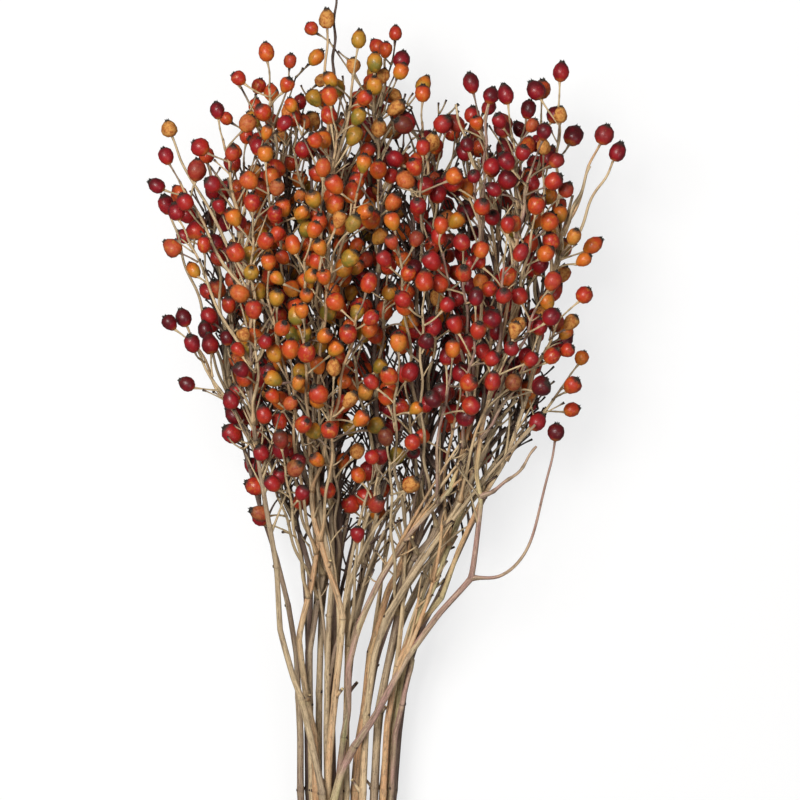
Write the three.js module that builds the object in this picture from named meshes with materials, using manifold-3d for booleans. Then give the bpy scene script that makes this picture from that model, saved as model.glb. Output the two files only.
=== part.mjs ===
// A bunch of rose hip sprigs lying down, tied near the cut ends.
// Millimetres. +Z is up, +Y runs from the cut ends to the tips, +X is to the right.
import * as THREE from "three";
import { mergeVertices } from "three/addons/utils/BufferGeometryUtils.js";
import Module from "manifold-3d";

const wasm = await Module();
wasm.setup();

// Every cane lies in one of five layers, 1 nearest the surface; heights along the bunch.
const LAYER_Y = [0, 55, 110, 170, 250, 330, 430];
const LAYER_Z = {
  1: [2.6, 6.5, 10, 13, 20, 26, 34],
  2: [8.1, 12, 15.6, 20, 32, 40, 48],
  3: [13.6, 17.5, 21.2, 27, 44, 54, 62],
  4: [19.1, 23, 26.9, 34, 56, 68, 76],
  5: [24.6, 28.5, 32.6, 41, 68, 82, 90],
};

// Clearances and sizes.
const GAP = 0.45;
const TIE_Y = 55;
const TIE_TURNS = 4;
const TIE_STEPS = 20;
const TWINE_R = 1.1;
const TWINE_GAP = 0.35;
const TWINE_SIDES = 4;
const TAIL = [17, 9];
const PEDICEL_R = 0.45;
const BRANCH_R = [1.0, 0.6];
const HIP_R = [3.8, 4.9];
const HIP_LONG = 1.14;
const CANE_SIDES = 5;
const BRANCH_SIDES = 3;
const BRANCH_STEPS = 4;
const GOLDEN_ANGLE = 2.39996;
const BRANCH_TRIES = 90;
const HIP_TRIES = 40;
const HIPS_MOST = 8;
const HIP_ARM = [8, 15];
const TRUSS_DEPTH = 30;
const FLOOR_GAP = 0.02;
const MERGE = 0.22;

// One sprig per row: layer, cane radius at the foot and at the tip, cane path (x, y),
// then trusses (x, y, z, hips, route). One hip alone, or none, is a single twig. A route
// is the height where the twig leaves its cane and the point where it bends.
const SPRIGS = [
  { name: "sprig_01", layer: 5, r: [2.1, 0.7],
    cane: [[-14, 0], [-13.8, 55], [-14.5, 100], [-19.5, 124.5], [-25, 148.5], [-29.5, 161], [-35.5, 184],
      [-37, 216], [-42.5, 250], [-47, 280], [-49, 300], [-49, 345], [-54, 385], [-60, 410]],
    trusses: [[-76, 326, 80, 4], [-80, 380, 86, 5], [-84, 408, 84, 5], [-62, 428, 98, 6],
      [-47, 380, 106, 7], [-46, 330, 96, 5], [-90, 435, 80, 1], [-83, 341, 74, 1]] },
  { name: "sprig_02", layer: 5, r: [2.3, 0.7],
    cane: [[-7.5, 2], [-8.3, 55], [-8.8, 95], [-5, 110], [1.8, 124], [12.5, 140], [28.5, 169.5], [44.5, 192],
      [60.5, 210.2], [62.8, 224.3], [65.5, 249.8], [63, 264], [66, 287], [72, 314],
      [78, 345], [84, 385], [88, 406]],
    trusses: [[88, 318, 80, 6], [92, 345, 92, 5], [76, 368, 104, 5], [90, 414, 96, 5],
      [103.5, 284, 62, 1, [210.5, 92, 200, 56]], [93, 277, 72, 0, [252, 82, 258, 72]]] },
  { name: "sprig_03", layer: 4, r: [2.3, 0.7],
    cane: [[-13.5, 0], [-13, 55], [-12, 100], [-11, 120], [-8, 149.5], [-4, 189.5], [-7.5, 204], [-11.5, 216],
      [-18.5, 240.5], [-20, 270], [-16, 310], [-12, 350], [-9, 400], [-10, 446]],
    trusses: [[-22, 330, 108, 5], [-8, 300, 96, 7], [4, 342, 110, 7], [-8, 370, 114, 7],
      [4, 402, 102, 6], [-6, 432, 94, 6], [2, 460, 88, 6], [-4.5, 388, 120, 1, [340, -22, 352, 110]],
      [-11, 489, 84, 1], [-7, 500, 76, 0]] },
  { name: "sprig_04", layer: 4, r: [2.2, 0.7],
    cane: [[-7.5, 3], [-7.5, 55], [-6.3, 100], [-5, 116], [-3.5, 128.5], [-1.5, 142], [-1, 165], [4.5, 187],
      [15, 209.5], [27, 229.5], [38, 242], [50, 255], [55.5, 271], [60.5, 290], [64, 320], [66, 350],
      [66, 390], [64, 420]],
    trusses: [[50, 312, 94, 6], [62, 334, 102, 6], [56, 366, 106, 6], [62, 412, 98, 6],
      [46, 372, 104, 5], [68, 444, 96, 0]] },
  { name: "sprig_05", layer: 4, r: [2.1, 0.7],
    cane: [[4, 0], [4.5, 55], [6, 100], [8, 140], [12, 170], [18, 190], [30, 210], [44, 230], [57, 252],
      [68, 275], [76, 310], [82, 350], [84, 390], [82, 420]],
    trusses: [[80, 432, 90, 6], [90, 384, 98, 5], [76, 318, 92, 5], [52, 446, 88, 0]] },
  { name: "sprig_06", layer: 4, r: [1.9, 0.7],
    cane: [[14, 0], [14, 55], [16.5, 100], [18.5, 135], [23.5, 165], [33, 184], [46, 200], [54, 223],
      [66, 250], [78, 270], [88, 300], [97, 340], [104, 375], [111, 402]],
    trusses: [[104, 340, 76, 5], [106, 374, 76, 6], [96, 412, 80, 5], [104, 446, 72, 4],
      [106, 306, 60, 4], [126.5, 432, 78, 1], [133.5, 424, 72, 1], [119.5, 416, 80, 0]] },
  { name: "sprig_07", layer: 4, r: [1.4, 1.2],
    cane: [[19, 4], [18.5, 55], [20.8, 102], [21.8, 116.5], [22.5, 129], [26, 145], [29, 158], [31.5, 167],
      [30, 172]],
    trusses: [] },
  { name: "sprig_08", layer: 3, r: [2.1, 0.7],
    cane: [[-19, 0], [-18.5, 55], [-18, 100], [-18.5, 128], [-22.5, 146.5], [-26.5, 179], [-19.5, 208.5],
      [-17, 224.5], [-15.5, 244.5], [-22, 285], [-28, 330], [-34, 380], [-38, 420], [-40, 446]],
    trusses: [[-32, 268, 84, 5], [-28, 310, 94, 7], [-40, 350, 98, 7], [-22, 368, 105, 7],
      [-40, 405, 98, 7], [-40, 455, 80, 7]] },
  { name: "sprig_09", layer: 3, r: [2.0, 0.7],
    cane: [[-12, 3], [-12.2, 55], [-12, 100], [-12.5, 130], [-12, 160], [-11, 190], [-9, 215], [-10, 245],
      [-10, 285], [-14, 330], [-18, 380], [-20, 425]],
    trusses: [[-20, 334, 88, 7], [-30, 385, 84, 7], [-14, 396, 96, 6], [-12, 305, 80, 6],
      [-28, 425, 76, 5]] },
  { name: "sprig_10", layer: 3, r: [2.0, 0.7],
    cane: [[-4, 0], [-4, 55], [-2.5, 100], [-2.5, 130], [-1.5, 172], [-1.5, 203], [4, 218], [10, 229],
      [14, 245], [14, 280], [12, 320], [14, 360], [16, 400], [12, 440], [10, 460]],
    trusses: [[14, 262, 62, 5], [2, 322, 72, 7], [18, 352, 80, 7], [14, 402, 78, 6], [12, 452, 76, 7],
      [4, 233, 66, 1], [17.5, 475, 66, 1]] },
  { name: "sprig_11", layer: 3, r: [2.4, 0.7],
    cane: [[9, 0], [9.5, 55], [12, 102], [14, 140.5], [19, 166], [24.5, 193.5], [25.5, 206], [31, 219],
      [40.5, 229.5], [47.5, 245.7], [44.5, 264.5], [36, 274], [34, 296], [34, 330], [32, 370], [32, 412]],
    trusses: [[36, 345, 110, 7], [24, 375, 108, 6], [36, 412, 100, 6], [24, 312, 100, 6],
      [20, 270, 84, 5]] },
  { name: "sprig_12", layer: 3, r: [2.0, 0.7],
    cane: [[15.5, 0], [16, 55], [19.5, 100], [21.5, 130], [26, 160], [33, 185], [43, 207], [51, 230],
      [60, 255], [66, 290], [70, 330], [74, 370], [76, 410]],
    trusses: [[54, 298, 76, 5], [74, 345, 70, 6], [70, 400, 76, 6], [64, 440, 80, 6]] },
  { name: "sprig_13", layer: 2, r: [2.1, 0.7],
    cane: [[-24, 0], [-24, 55], [-26, 100], [-26, 128.5], [-27, 148], [-28, 170], [-32, 195], [-38, 220],
      [-46, 245], [-54, 275], [-62, 310], [-67, 345]],
    trusses: [[-48, 300, 66, 6], [-60, 350, 56, 5], [-56, 385, 66, 6], [-70, 405, 58, 5],
      [-92, 398, 62, 1], [-72.5, 335, 62, 1]] },
  { name: "sprig_14", layer: 2, r: [1.9, 0.7],
    cane: [[-18.5, 2], [-18.5, 55], [-20.2, 100], [-21, 144], [-21, 172], [-17, 196], [-13, 216.5],
      [-18, 245], [-26, 270], [-33, 300], [-40, 335], [-46, 368]],
    trusses: [[-38, 256, 52, 6], [-32, 276, 66, 6], [-36, 332, 66, 7], [-48, 370, 58, 6]] },
  { name: "sprig_15", layer: 2, r: [2.2, 0.7],
    cane: [[-8, 0], [-8.5, 55], [-9.5, 100], [-10, 150], [-8.5, 190], [-6, 220], [-6, 250], [-6, 290],
      [-4, 330], [-4, 370], [-6, 410], [-8, 440]],
    trusses: [[-8, 272, 60, 5], [-4, 345, 62, 6], [-8, 386, 64, 6], [-2, 425, 66, 5]] },
  { name: "sprig_16", layer: 2, r: [2.6, 0.7],
    cane: [[0, 2], [0.5, 55], [2, 100], [4, 125], [7, 142.5], [10, 171], [19, 203], [24.5, 213], [31, 230],
      [35, 250], [38, 280], [38, 320], [42, 360], [44, 400], [41, 434]],
    trusses: [[30, 298, 64, 5], [44, 348, 72, 6], [42, 390, 72, 6], [36, 438, 76, 7]] },
  { name: "sprig_17", layer: 2, r: [2.2, 0.7],
    cane: [[13.5, 0], [14, 55], [16.5, 102], [18.5, 124.5], [23, 148], [25, 164], [31.7, 186.5], [37.5, 204],
      [44, 220], [53, 245], [60, 280], [66, 320], [74, 350], [82, 380], [86, 412]],
    trusses: [[86, 350, 58, 5], [92, 390, 58, 5], [86, 432, 62, 5], [76, 316, 52, 5]] },
  { name: "sprig_18", layer: 1, r: [2.1, 0.7],
    cane: [[-20.5, 0], [-20, 55], [-22, 100], [-22.5, 140], [-22, 170], [-21, 200], [-21.5, 214], [-26, 231],
      [-33, 246], [-44, 280], [-56, 320], [-66, 362], [-73, 396]],
    trusses: [[-52, 308, 26, 4], [-62, 360, 20, 5], [-76, 388, 36, 4], [-54, 420, 40, 5],
      [-40, 264, 28, 4]] },
  { name: "sprig_19", layer: 1, r: [2.2, 0.7],
    cane: [[-15, 0], [-15, 55], [-16.8, 100], [-16.5, 150], [-15, 200], [-16, 240], [-20, 290], [-26, 345],
      [-32, 395], [-34, 430]],
    trusses: [[-34, 300, 24, 4], [-36, 345, 30, 4], [-34, 392, 30, 5], [-30, 430, 44, 4]] },
  { name: "sprig_20", layer: 1, r: [2.3, 0.7],
    cane: [[-10, 0], [-10, 55], [-11.2, 100], [-10, 150], [-8, 200], [-8, 250], [-10, 300], [-12, 350],
      [-14, 400], [-14, 438]],
    trusses: [[-14, 310, 22, 4], [-16, 350, 26, 4], [-12, 395, 28, 4], [-14, 436, 44, 4]] },
  { name: "sprig_21", layer: 1, r: [2.1, 0.7],
    cane: [[-3.5, 0], [-3.5, 55], [-4, 100], [-2, 150], [2, 190], [8, 225], [12, 260], [12, 310], [10, 360],
      [10, 410], [12, 440]],
    trusses: [[8, 250, 32, 4], [8, 305, 24, 4], [6, 352, 28, 5], [12, 395, 30, 5], [16, 430, 40, 4]] },
  { name: "sprig_22", layer: 1, r: [2.2, 0.7],
    cane: [[3, 0], [3, 55], [5, 100], [8, 140], [12, 164], [16, 182], [22, 200], [29.5, 216], [36, 245],
      [38, 290], [36, 340], [34, 390], [34, 428]],
    trusses: [[28, 290, 24, 4], [36, 330, 26, 4], [30, 372, 28, 5], [36, 410, 34, 4]] },
  { name: "sprig_23", layer: 1, r: [2.0, 0.7],
    cane: [[9, 0], [9.5, 55], [11.5, 100], [15, 140], [20, 170], [28, 192], [38, 212], [48, 236], [56, 270],
      [60, 320], [60, 370], [60, 415]],
    trusses: [[52, 310, 22, 4], [58, 352, 26, 4], [56, 392, 32, 4], [60, 430, 42, 4]] },
  { name: "sprig_24", layer: 1, r: [2.0, 0.7],
    cane: [[16.5, 0], [17, 55], [22, 100], [24.5, 130], [28.5, 160], [36, 183], [46, 202], [56, 224],
      [68, 250], [82, 285], [92, 320], [98, 360], [98, 394]],
    trusses: [[84, 305, 24, 4], [100, 325, 22, 4], [90, 360, 26, 4], [104, 364, 36, 4],
      [88, 405, 36, 4], [96, 440, 54, 4]] },
];

// ---------------------------------------------------------------- numbers
// Park and Miller's generator, one stream for every sprig.
function stream(seed) {
  let state = seed;
  const next = () => {
    state = (state * 48271) % 2147483647;
    return state / 2147483647;
  };
  for (let i = 0; i < 5; i += 1) {
    next();
  }
  return next;
}

function spread(next, low, high) {
  return low + (high - low) * next();
}

function layerHeight(layer, y) {
  const z = LAYER_Z[layer];
  const last = LAYER_Y.length - 1;
  for (let i = 0; i < last; i += 1) {
    if (y <= LAYER_Y[i + 1]) {
      const t = (y - LAYER_Y[i]) / (LAYER_Y[i + 1] - LAYER_Y[i]);
      return z[i] + (z[i + 1] - z[i]) * t;
    }
  }
  return z[last];
}

// ---------------------------------------------------------------- clearance
// A capsule: end points a and b, radius r, owner (sprig), kind.
function capsule(a, b, r, owner, kind) {
  return { a, b, r, owner, kind };
}

// Shortest distance between segments p-q and a-b.
function segmentDistance(p, q, a, b) {
  const d1 = q.clone().sub(p);
  const d2 = b.clone().sub(a);
  const w = p.clone().sub(a);
  const aa = Math.max(d1.dot(d1), 1e-9);
  const ee = Math.max(d2.dot(d2), 1e-9);
  const f = d2.dot(w);
  const c = d1.dot(w);
  const bb = d1.dot(d2);
  const den = aa * ee - bb * bb;
  let s = 0;
  if (den > 1e-9) {
    s = Math.min(1, Math.max(0, (bb * f - c * ee) / den));
  }
  let t = (bb * s + f) / ee;
  if (t < 0) {
    t = 0;
    s = Math.min(1, Math.max(0, -c / aa));
  } else if (t > 1) {
    t = 1;
    s = Math.min(1, Math.max(0, (bb - c) / aa));
  }
  const x = p.clone().addScaledVector(d1, s);
  return x.sub(a.clone().addScaledVector(d2, t)).length();
}

function clear(trial, placed) {
  return placed.every((other) => {
    if (other.owner === trial.owner && other.kind !== "hip" && trial.kind !== "hip") {
      return true;
    }
    const reach = trial.r + other.r + GAP;
    return segmentDistance(trial.a, trial.b, other.a, other.b) > reach;
  });
}

// ---------------------------------------------------------------- growth
function growCane(row, owner, placed) {
  const points = row.cane.map(([x, y]) => new THREE.Vector3(x, y, layerHeight(row.layer, y)));
  const last = points.length - 1;
  const radii = points.map((_, i) => row.r[0] + (row.r[1] - row.r[0]) * (i / last));
  points[0].z = Math.max(points[0].z, radii[0] + FLOOR_GAP);
  for (let i = 0; i < last; i += 1) {
    placed.push(capsule(points[i], points[i + 1], radii[i], owner, "cane"));
  }
  return { points, radii, owner };
}

// Point and direction on a path at height y.
function alongPath(points, y) {
  const last = points.length - 1;
  for (let i = 0; i < last; i += 1) {
    if (y <= points[i + 1].y || i === last - 1) {
      const step = points[i + 1].clone().sub(points[i]);
      const t = Math.min(1, Math.max(0, (y - points[i].y) / step.y));
      return { at: points[i].clone().addScaledVector(step, t), way: step.normalize() };
    }
  }
  return null;
}

// A branch leaves the cane well below its truss and curves up to it.
function branchPath(cane, row, end, next, attempt) {
  const tip = cane.points[cane.points.length - 1];
  const level = alongPath(cane.points, end.y);
  const side = level.at.distanceTo(end);
  const drop = side * spread(next, 1.1, 1.7) + spread(next, 8, 26 + attempt);
  const route = row[4];
  const leave = route ? route[0] : Math.min(end.y - drop, tip.y - 1);
  const start = alongPath(cane.points, leave);
  const length = start.at.distanceTo(end);
  const bend = start.at.clone().lerp(end, 0.5);
  bend.addScaledVector(start.way, -length * spread(next, 0.04, 0.16));
  if (route) {
    bend.set(route[1], route[2], route[3]);
  }
  const loose = Math.min(1.5 + attempt * 0.6, 16) * (route ? 0.3 : 1);
  bend.x += spread(next, -loose, loose);
  bend.z += spread(next, -loose, loose);
  const curve = new THREE.QuadraticBezierCurve3(start.at, bend, end);
  const points = [];
  for (let i = 0; i <= BRANCH_STEPS; i += 1) {
    points.push(curve.getPoint(i / BRANCH_STEPS));
  }
  return points;
}

function tubeCapsules(points, radii, owner, kind) {
  const list = [];
  for (let i = 0; i < points.length - 1; i += 1) {
    list.push(capsule(points[i], points[i + 1], radii[i], owner, kind));
  }
  return list;
}

function hipShape(centre, way, radius, owner) {
  const half = radius * (HIP_LONG - 1);
  const low = centre.clone().addScaledVector(way, -half);
  const high = centre.clone().addScaledVector(way, half);
  return capsule(low, high, radius, owner, "hip");
}

function growBranch(cane, row, next, placed) {
  const [x, y, z, count] = row;
  const end = new THREE.Vector3(x, y, z);
  const radii = [];
  for (let i = 0; i <= BRANCH_STEPS; i += 1) {
    radii.push(BRANCH_R[0] + (BRANCH_R[1] - BRANCH_R[0]) * (i / BRANCH_STEPS));
  }
  for (let attempt = 0; attempt < BRANCH_TRIES; attempt += 1) {
    const points = branchPath(cane, row, end, next, attempt);
    const trial = tubeCapsules(points, radii, cane.owner, "branch");
    const radius = spread(next, HIP_R[0], HIP_R[1]);
    const way = end.clone().sub(points[BRANCH_STEPS - 1]).normalize();
    const hips = [];
    if (count === 1) {
      const base = end.clone().addScaledVector(way, -radius * HIP_LONG);
      points[BRANCH_STEPS] = base;
      trial[BRANCH_STEPS - 1].b = base;
      trial.push(hipShape(end, way, radius, cane.owner));
      hips.push({ base, centre: end, way, radius });
    }
    if (trial.every((part) => part.a.z > part.r && part.b.z > part.r && clear(part, placed))) {
      placed.push(...trial);
      return { points, radii, hips, row, owner: cane.owner };
    }
  }
  return null;
}

// Hips stand out around the end of the branch on stiff pedicels.
function growHip(branch, index, next, placed) {
  const { points, row } = branch;
  const count = row[3];
  const length = points[0].distanceTo(points[BRANCH_STEPS]);
  const reach = Math.min(TRUSS_DEPTH, length * 0.6);
  const f = BRANCH_STEPS * (1 - (reach / length) * (index / count));
  const k = Math.min(BRANCH_STEPS - 1, Math.floor(f));
  const base = points[k].clone().lerp(points[k + 1], f - k);
  const way = points[k + 1].clone().sub(points[k]).normalize();
  const side = new THREE.Vector3(0, 0, 1).cross(way).normalize();
  const over = way.clone().cross(side);
  const radius = spread(next, HIP_R[0], HIP_R[1]);
  for (let attempt = 0; attempt < HIP_TRIES; attempt += 1) {
    const turn = index * GOLDEN_ANGLE + row[0] + spread(next, -0.4, 0.4) * (1 + attempt * 0.2);
    const tilt = (index === 0 ? 0.1 : 0.75) + spread(next, -0.2, 0.25) * (1 + attempt * 0.08);
    const arm = spread(next, HIP_ARM[0], HIP_ARM[1]) + attempt * 0.2;
    const out = way.clone().multiplyScalar(Math.cos(tilt));
    out.addScaledVector(side, Math.sin(tilt) * Math.cos(turn));
    out.addScaledVector(over, Math.sin(tilt) * Math.sin(turn));
    const centre = base.clone().addScaledVector(out, arm + radius * HIP_LONG);
    if (centre.z < radius + FLOOR_GAP) {
      centre.z = radius + FLOOR_GAP;
      out.copy(centre).sub(base).normalize();
      out.z = Math.max(out.z, -0.9);
    }
    const foot = centre.clone().addScaledVector(out, -radius * HIP_LONG);
    const trial = hipShape(centre, out, radius, branch.owner);
    trial.a.z = Math.max(trial.a.z, radius);
    trial.b.z = Math.max(trial.b.z, radius);
    const stalk = capsule(base, foot, PEDICEL_R, branch.owner, "stalk");
    if (foot.z > 1 && clear(trial, placed) && clear(stalk, placed)) {
      placed.push(trial, stalk);
      branch.hips.push({ base, centre, way: out, radius });
      return true;
    }
  }
  return false;
}

function growBunch() {
  const placed = [];
  const sprigs = SPRIGS.map((row, i) => ({
    row,
    next: stream(1009 + 7919 * i),
    cane: growCane(row, i, placed),
    branches: [],
  }));
  const single = (row) => row[3] <= 1;
  for (const pass of [single, (row) => !single(row)]) {
    for (const sprig of sprigs) {
      for (const row of sprig.row.trusses.filter(pass)) {
        const branch = growBranch(sprig.cane, row, sprig.next, placed);
        if (branch) {
          sprig.branches.push(branch);
        }
      }
    }
  }
  for (let index = 0; index < HIPS_MOST; index += 1) {
    for (const sprig of sprigs) {
      for (const branch of sprig.branches) {
        if (branch.row[3] > 1 && index < branch.row[3]) {
          growHip(branch, index, sprig.next, placed);
        }
      }
    }
  }
  return { sprigs, placed };
}

// ---------------------------------------------------------------- solids
function solid(geometry) {
  geometry.deleteAttribute("normal");
  geometry.deleteAttribute("uv");
  const merged = mergeVertices(geometry, 1e-4);
  return new wasm.Manifold(new wasm.Mesh({
    numProp: 3,
    vertProperties: new Float32Array(merged.attributes.position.array),
    triVerts: new Uint32Array(merged.index.array),
  }));
}

// A tapered stem through the points: a cylinder with each ring moved onto the path.
function stem(points, radii, sides) {
  const steps = points.length - 1;
  const geometry = new THREE.CylinderGeometry(1, 1, 1, sides, steps);
  const position = geometry.attributes.position;
  const vertex = new THREE.Vector3();
  const frames = [];
  let side = new THREE.Vector3(0, 0, 1);
  for (let i = 0; i <= steps; i += 1) {
    const way = points[Math.min(i + 1, steps)].clone().sub(points[Math.max(i - 1, 0)]).normalize();
    side = side.clone().addScaledVector(way, -side.dot(way)).normalize();
    frames.push({ point: points[i], side, over: way.clone().cross(side), radius: radii[i] });
  }
  for (let i = 0; i < position.count; i += 1) {
    vertex.fromBufferAttribute(position, i);
    const frame = frames[Math.round((vertex.y + 0.5) * steps)];
    const place = frame.point.clone();
    place.addScaledVector(frame.over, vertex.x * frame.radius);
    place.addScaledVector(frame.side, vertex.z * frame.radius);
    position.setXYZ(i, place.x, place.y, place.z);
  }
  return solid(geometry);
}

// A hip on its pedicel, turned from a profile in three sides; the upper ring is
// turned by half a side so the body is rounder.
function hipOnStalk(hip) {
  const { base, centre, way, radius } = hip;
  const foot = centre.clone().addScaledVector(way, -radius * HIP_LONG);
  const reach = base.distanceTo(foot);
  const heights = [
    [PEDICEL_R, 0],
    [PEDICEL_R * 1.25, reach + radius * 0.1],
    [radius, reach + radius * 0.85],
    [radius * 0.95, reach + radius * 1.55],
    [0, reach + radius * HIP_LONG * 2],
  ];
  const profile = [new THREE.Vector2(0, 0), ...heights.map(([r, y]) => new THREE.Vector2(r, y))];
  const geometry = new THREE.LatheGeometry(profile, 3);
  const position = geometry.attributes.position;
  const up = new THREE.Vector3(0, 1, 0);
  const vertex = new THREE.Vector3();
  for (let i = 0; i < position.count; i += 1) {
    if (i % profile.length === 4) {
      vertex.fromBufferAttribute(position, i).applyAxisAngle(up, Math.PI / 3);
      position.setXYZ(i, vertex.x, vertex.y, vertex.z);
    }
  }
  const aim = foot.clone().sub(base).normalize();
  geometry.applyQuaternion(new THREE.Quaternion().setFromUnitVectors(up, aim));
  geometry.translate(base.x, base.y, base.z);
  return solid(geometry);
}

function sprigSolid(sprig) {
  const parts = [stem(sprig.cane.points, sprig.cane.radii, CANE_SIDES)];
  for (const branch of sprig.branches) {
    parts.push(stem(branch.points, branch.radii, BRANCH_SIDES));
    for (const hip of branch.hips) {
      if (branch.hips.length > 1) {
        parts.push(hipOnStalk(hip));
      } else {
        parts.push(hipOnStalk({ ...hip, base: hip.base.clone().addScaledVector(hip.way, -1) }));
      }
    }
  }
  return wasm.Manifold.union(parts).asOriginal().simplify(MERGE);
}

// The outline of the canes where they are tied: for a direction in the cross
// section, the point one offset outside the cane that lies furthest that way.
function tiePoint(sprigs, y, angle, offset) {
  const way = new THREE.Vector3(Math.cos(angle), 0, Math.sin(angle));
  let best = null;
  for (const { cane } of sprigs) {
    const middle = alongPath(cane.points, y).at;
    const reach = middle.dot(way) + cane.radii[0];
    if (best === null || reach > best.reach) {
      best = { reach, middle, radius: cane.radii[0] };
    }
  }
  const point = best.middle.clone().addScaledVector(way, best.radius + offset);
  point.y = y;
  return point;
}

// Twine wound round the canes and knotted on top, with two short tails.
function twine(sprigs) {
  const points = [];
  const pitch = TWINE_R * 2 + TWINE_GAP;
  const offset = TWINE_R + TWINE_GAP;
  for (let i = 0; i <= TIE_TURNS * TIE_STEPS; i += 1) {
    const turns = i / TIE_STEPS;
    const y = TIE_Y + (turns - TIE_TURNS / 2) * pitch;
    points.push(tiePoint(sprigs, y, Math.PI * (0.5 + 2 * turns), offset));
  }
  const first = points[0];
  const last = points[points.length - 1];
  const knot = first.clone().lerp(last, 0.5);
  knot.z += TWINE_R * 2.6;
  const tail = (end, side) => [
    end,
    end.clone().lerp(knot, 0.6).add(new THREE.Vector3(-side * TWINE_R, 0, TWINE_R * 0.9)),
    knot.clone().add(new THREE.Vector3(side * TWINE_R, side * TWINE_R, 0)),
    knot.clone().add(new THREE.Vector3(side * TAIL[0] * 0.5, side * TAIL[1] * 0.3, TWINE_R * 0.8)),
    knot.clone().add(new THREE.Vector3(side * TAIL[0], side * TAIL[1], -TWINE_R)),
  ];
  const strand = (path) => stem(path, path.map(() => TWINE_R), TWINE_SIDES);
  const wrap = new THREE.TorusGeometry(TWINE_R, TWINE_R * 1.1, TWINE_SIDES, 8);
  wrap.rotateY(Math.PI / 2);
  wrap.translate(knot.x, knot.y, knot.z);
  const parts = [strand(points), strand(tail(first, 1)), strand(tail(last, -1)), solid(wrap)];
  return wasm.Manifold.union(parts).asOriginal().simplify(MERGE);
}

function meshOf(name, body, colour, roughness) {
  const data = body.getMesh();
  const geometry = new THREE.BufferGeometry();
  geometry.setAttribute("position", new THREE.BufferAttribute(new Float32Array(data.vertProperties), 3));
  geometry.setIndex(new THREE.BufferAttribute(new Uint32Array(data.triVerts), 1));
  const material = new THREE.MeshStandardMaterial({ color: colour, roughness, metalness: 0 });
  const mesh = new THREE.Mesh(geometry, material);
  mesh.name = name;
  return mesh;
}

const group = new THREE.Group();
group.name = "rose_hip_bunch";
const bunch = growBunch();
for (const sprig of bunch.sprigs) {
  group.add(meshOf(sprig.row.name, sprigSolid(sprig), 0xb4482a, 0.45));
}
group.add(meshOf("twine_tie", twine(bunch.sprigs), 0xb08d57, 0.9));

// The middle of the footprint is the origin and the surface is z = 0.
const box = new THREE.Box3();
for (const part of bunch.placed) {
  box.expandByPoint(part.a.clone().subScalar(part.r));
  box.expandByPoint(part.a.clone().addScalar(part.r));
  box.expandByPoint(part.b.clone().subScalar(part.r));
  box.expandByPoint(part.b.clone().addScalar(part.r));
}
for (const mesh of group.children) {
  mesh.geometry.translate(-(box.min.x + box.max.x) / 2, -(box.min.y + box.max.y) / 2, -box.min.z);
}
export default group;
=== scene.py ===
"""A bunch of rose hip sprigs lying on a pale floor, tied with jute twine."""
import bmesh
import bpy
import math
import random
import numpy as np
from mathutils import Matrix


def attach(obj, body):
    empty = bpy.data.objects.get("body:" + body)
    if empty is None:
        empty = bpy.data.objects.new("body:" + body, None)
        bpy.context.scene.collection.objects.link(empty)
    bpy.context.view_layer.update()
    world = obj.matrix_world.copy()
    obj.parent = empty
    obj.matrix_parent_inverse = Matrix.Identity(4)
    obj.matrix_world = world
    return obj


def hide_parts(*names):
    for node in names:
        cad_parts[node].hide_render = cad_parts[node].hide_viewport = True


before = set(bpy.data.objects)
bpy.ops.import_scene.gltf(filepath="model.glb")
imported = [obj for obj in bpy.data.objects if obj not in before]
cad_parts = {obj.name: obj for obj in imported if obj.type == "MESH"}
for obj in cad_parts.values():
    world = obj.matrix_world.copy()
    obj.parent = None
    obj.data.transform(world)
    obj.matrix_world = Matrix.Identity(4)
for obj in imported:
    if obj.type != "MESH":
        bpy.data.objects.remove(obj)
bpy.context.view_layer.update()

MM = 0.001

# ------------------------------------------------------------------ the bunch, in mm
# Heights of the five layers that the canes lie in, along the bunch.
LAYER_Y = [0, 55, 110, 170, 250, 330, 430]
LAYER_Z = {
    1: [2.6, 6.5, 10, 13, 20, 26, 34],
    2: [8.1, 12, 15.6, 20, 32, 40, 48],
    3: [13.6, 17.5, 21.2, 27, 44, 54, 62],
    4: [19.1, 23, 26.9, 34, 56, 68, 76],
    5: [24.6, 28.5, 32.6, 41, 68, 82, 90],
}
GAP = 0.45
TINY = 1e-9
FLOOR_GAP = 0.02
PLACED_MOST = 9000
PEDICEL_R = 0.45
BRANCH_R = (1.0, 0.6)
HIP_R = (3.8, 4.9)
HIP_LONG = 1.14
HIP_ARM = (8, 15)
HIP_TRIES = 40
HIPS_MOST = 8
TRUSS_DEPTH = 30
BRANCH_STEPS = 4
BRANCH_TRIES = 90
# A branch leaves its cane lower than its truss, by a share of their distance and by more,
# and sags by a share of its length. Its bend wanders further at each try, up to a limit.
DROP_SHARE = (1.1, 1.7)
DROP_MORE = (8, 26)
SAG = (0.04, 0.16)
WANDER = (1.5, 0.6, 16)
ROUTE_WANDER = 0.3
GOLDEN_ANGLE = 2.39996
TIE_Y = 55
TIE_TURNS = 4
TIE_STEPS = 20
TWINE_R = 1.1
TWINE_GAP = 0.35
TAIL = (17, 9)

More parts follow.
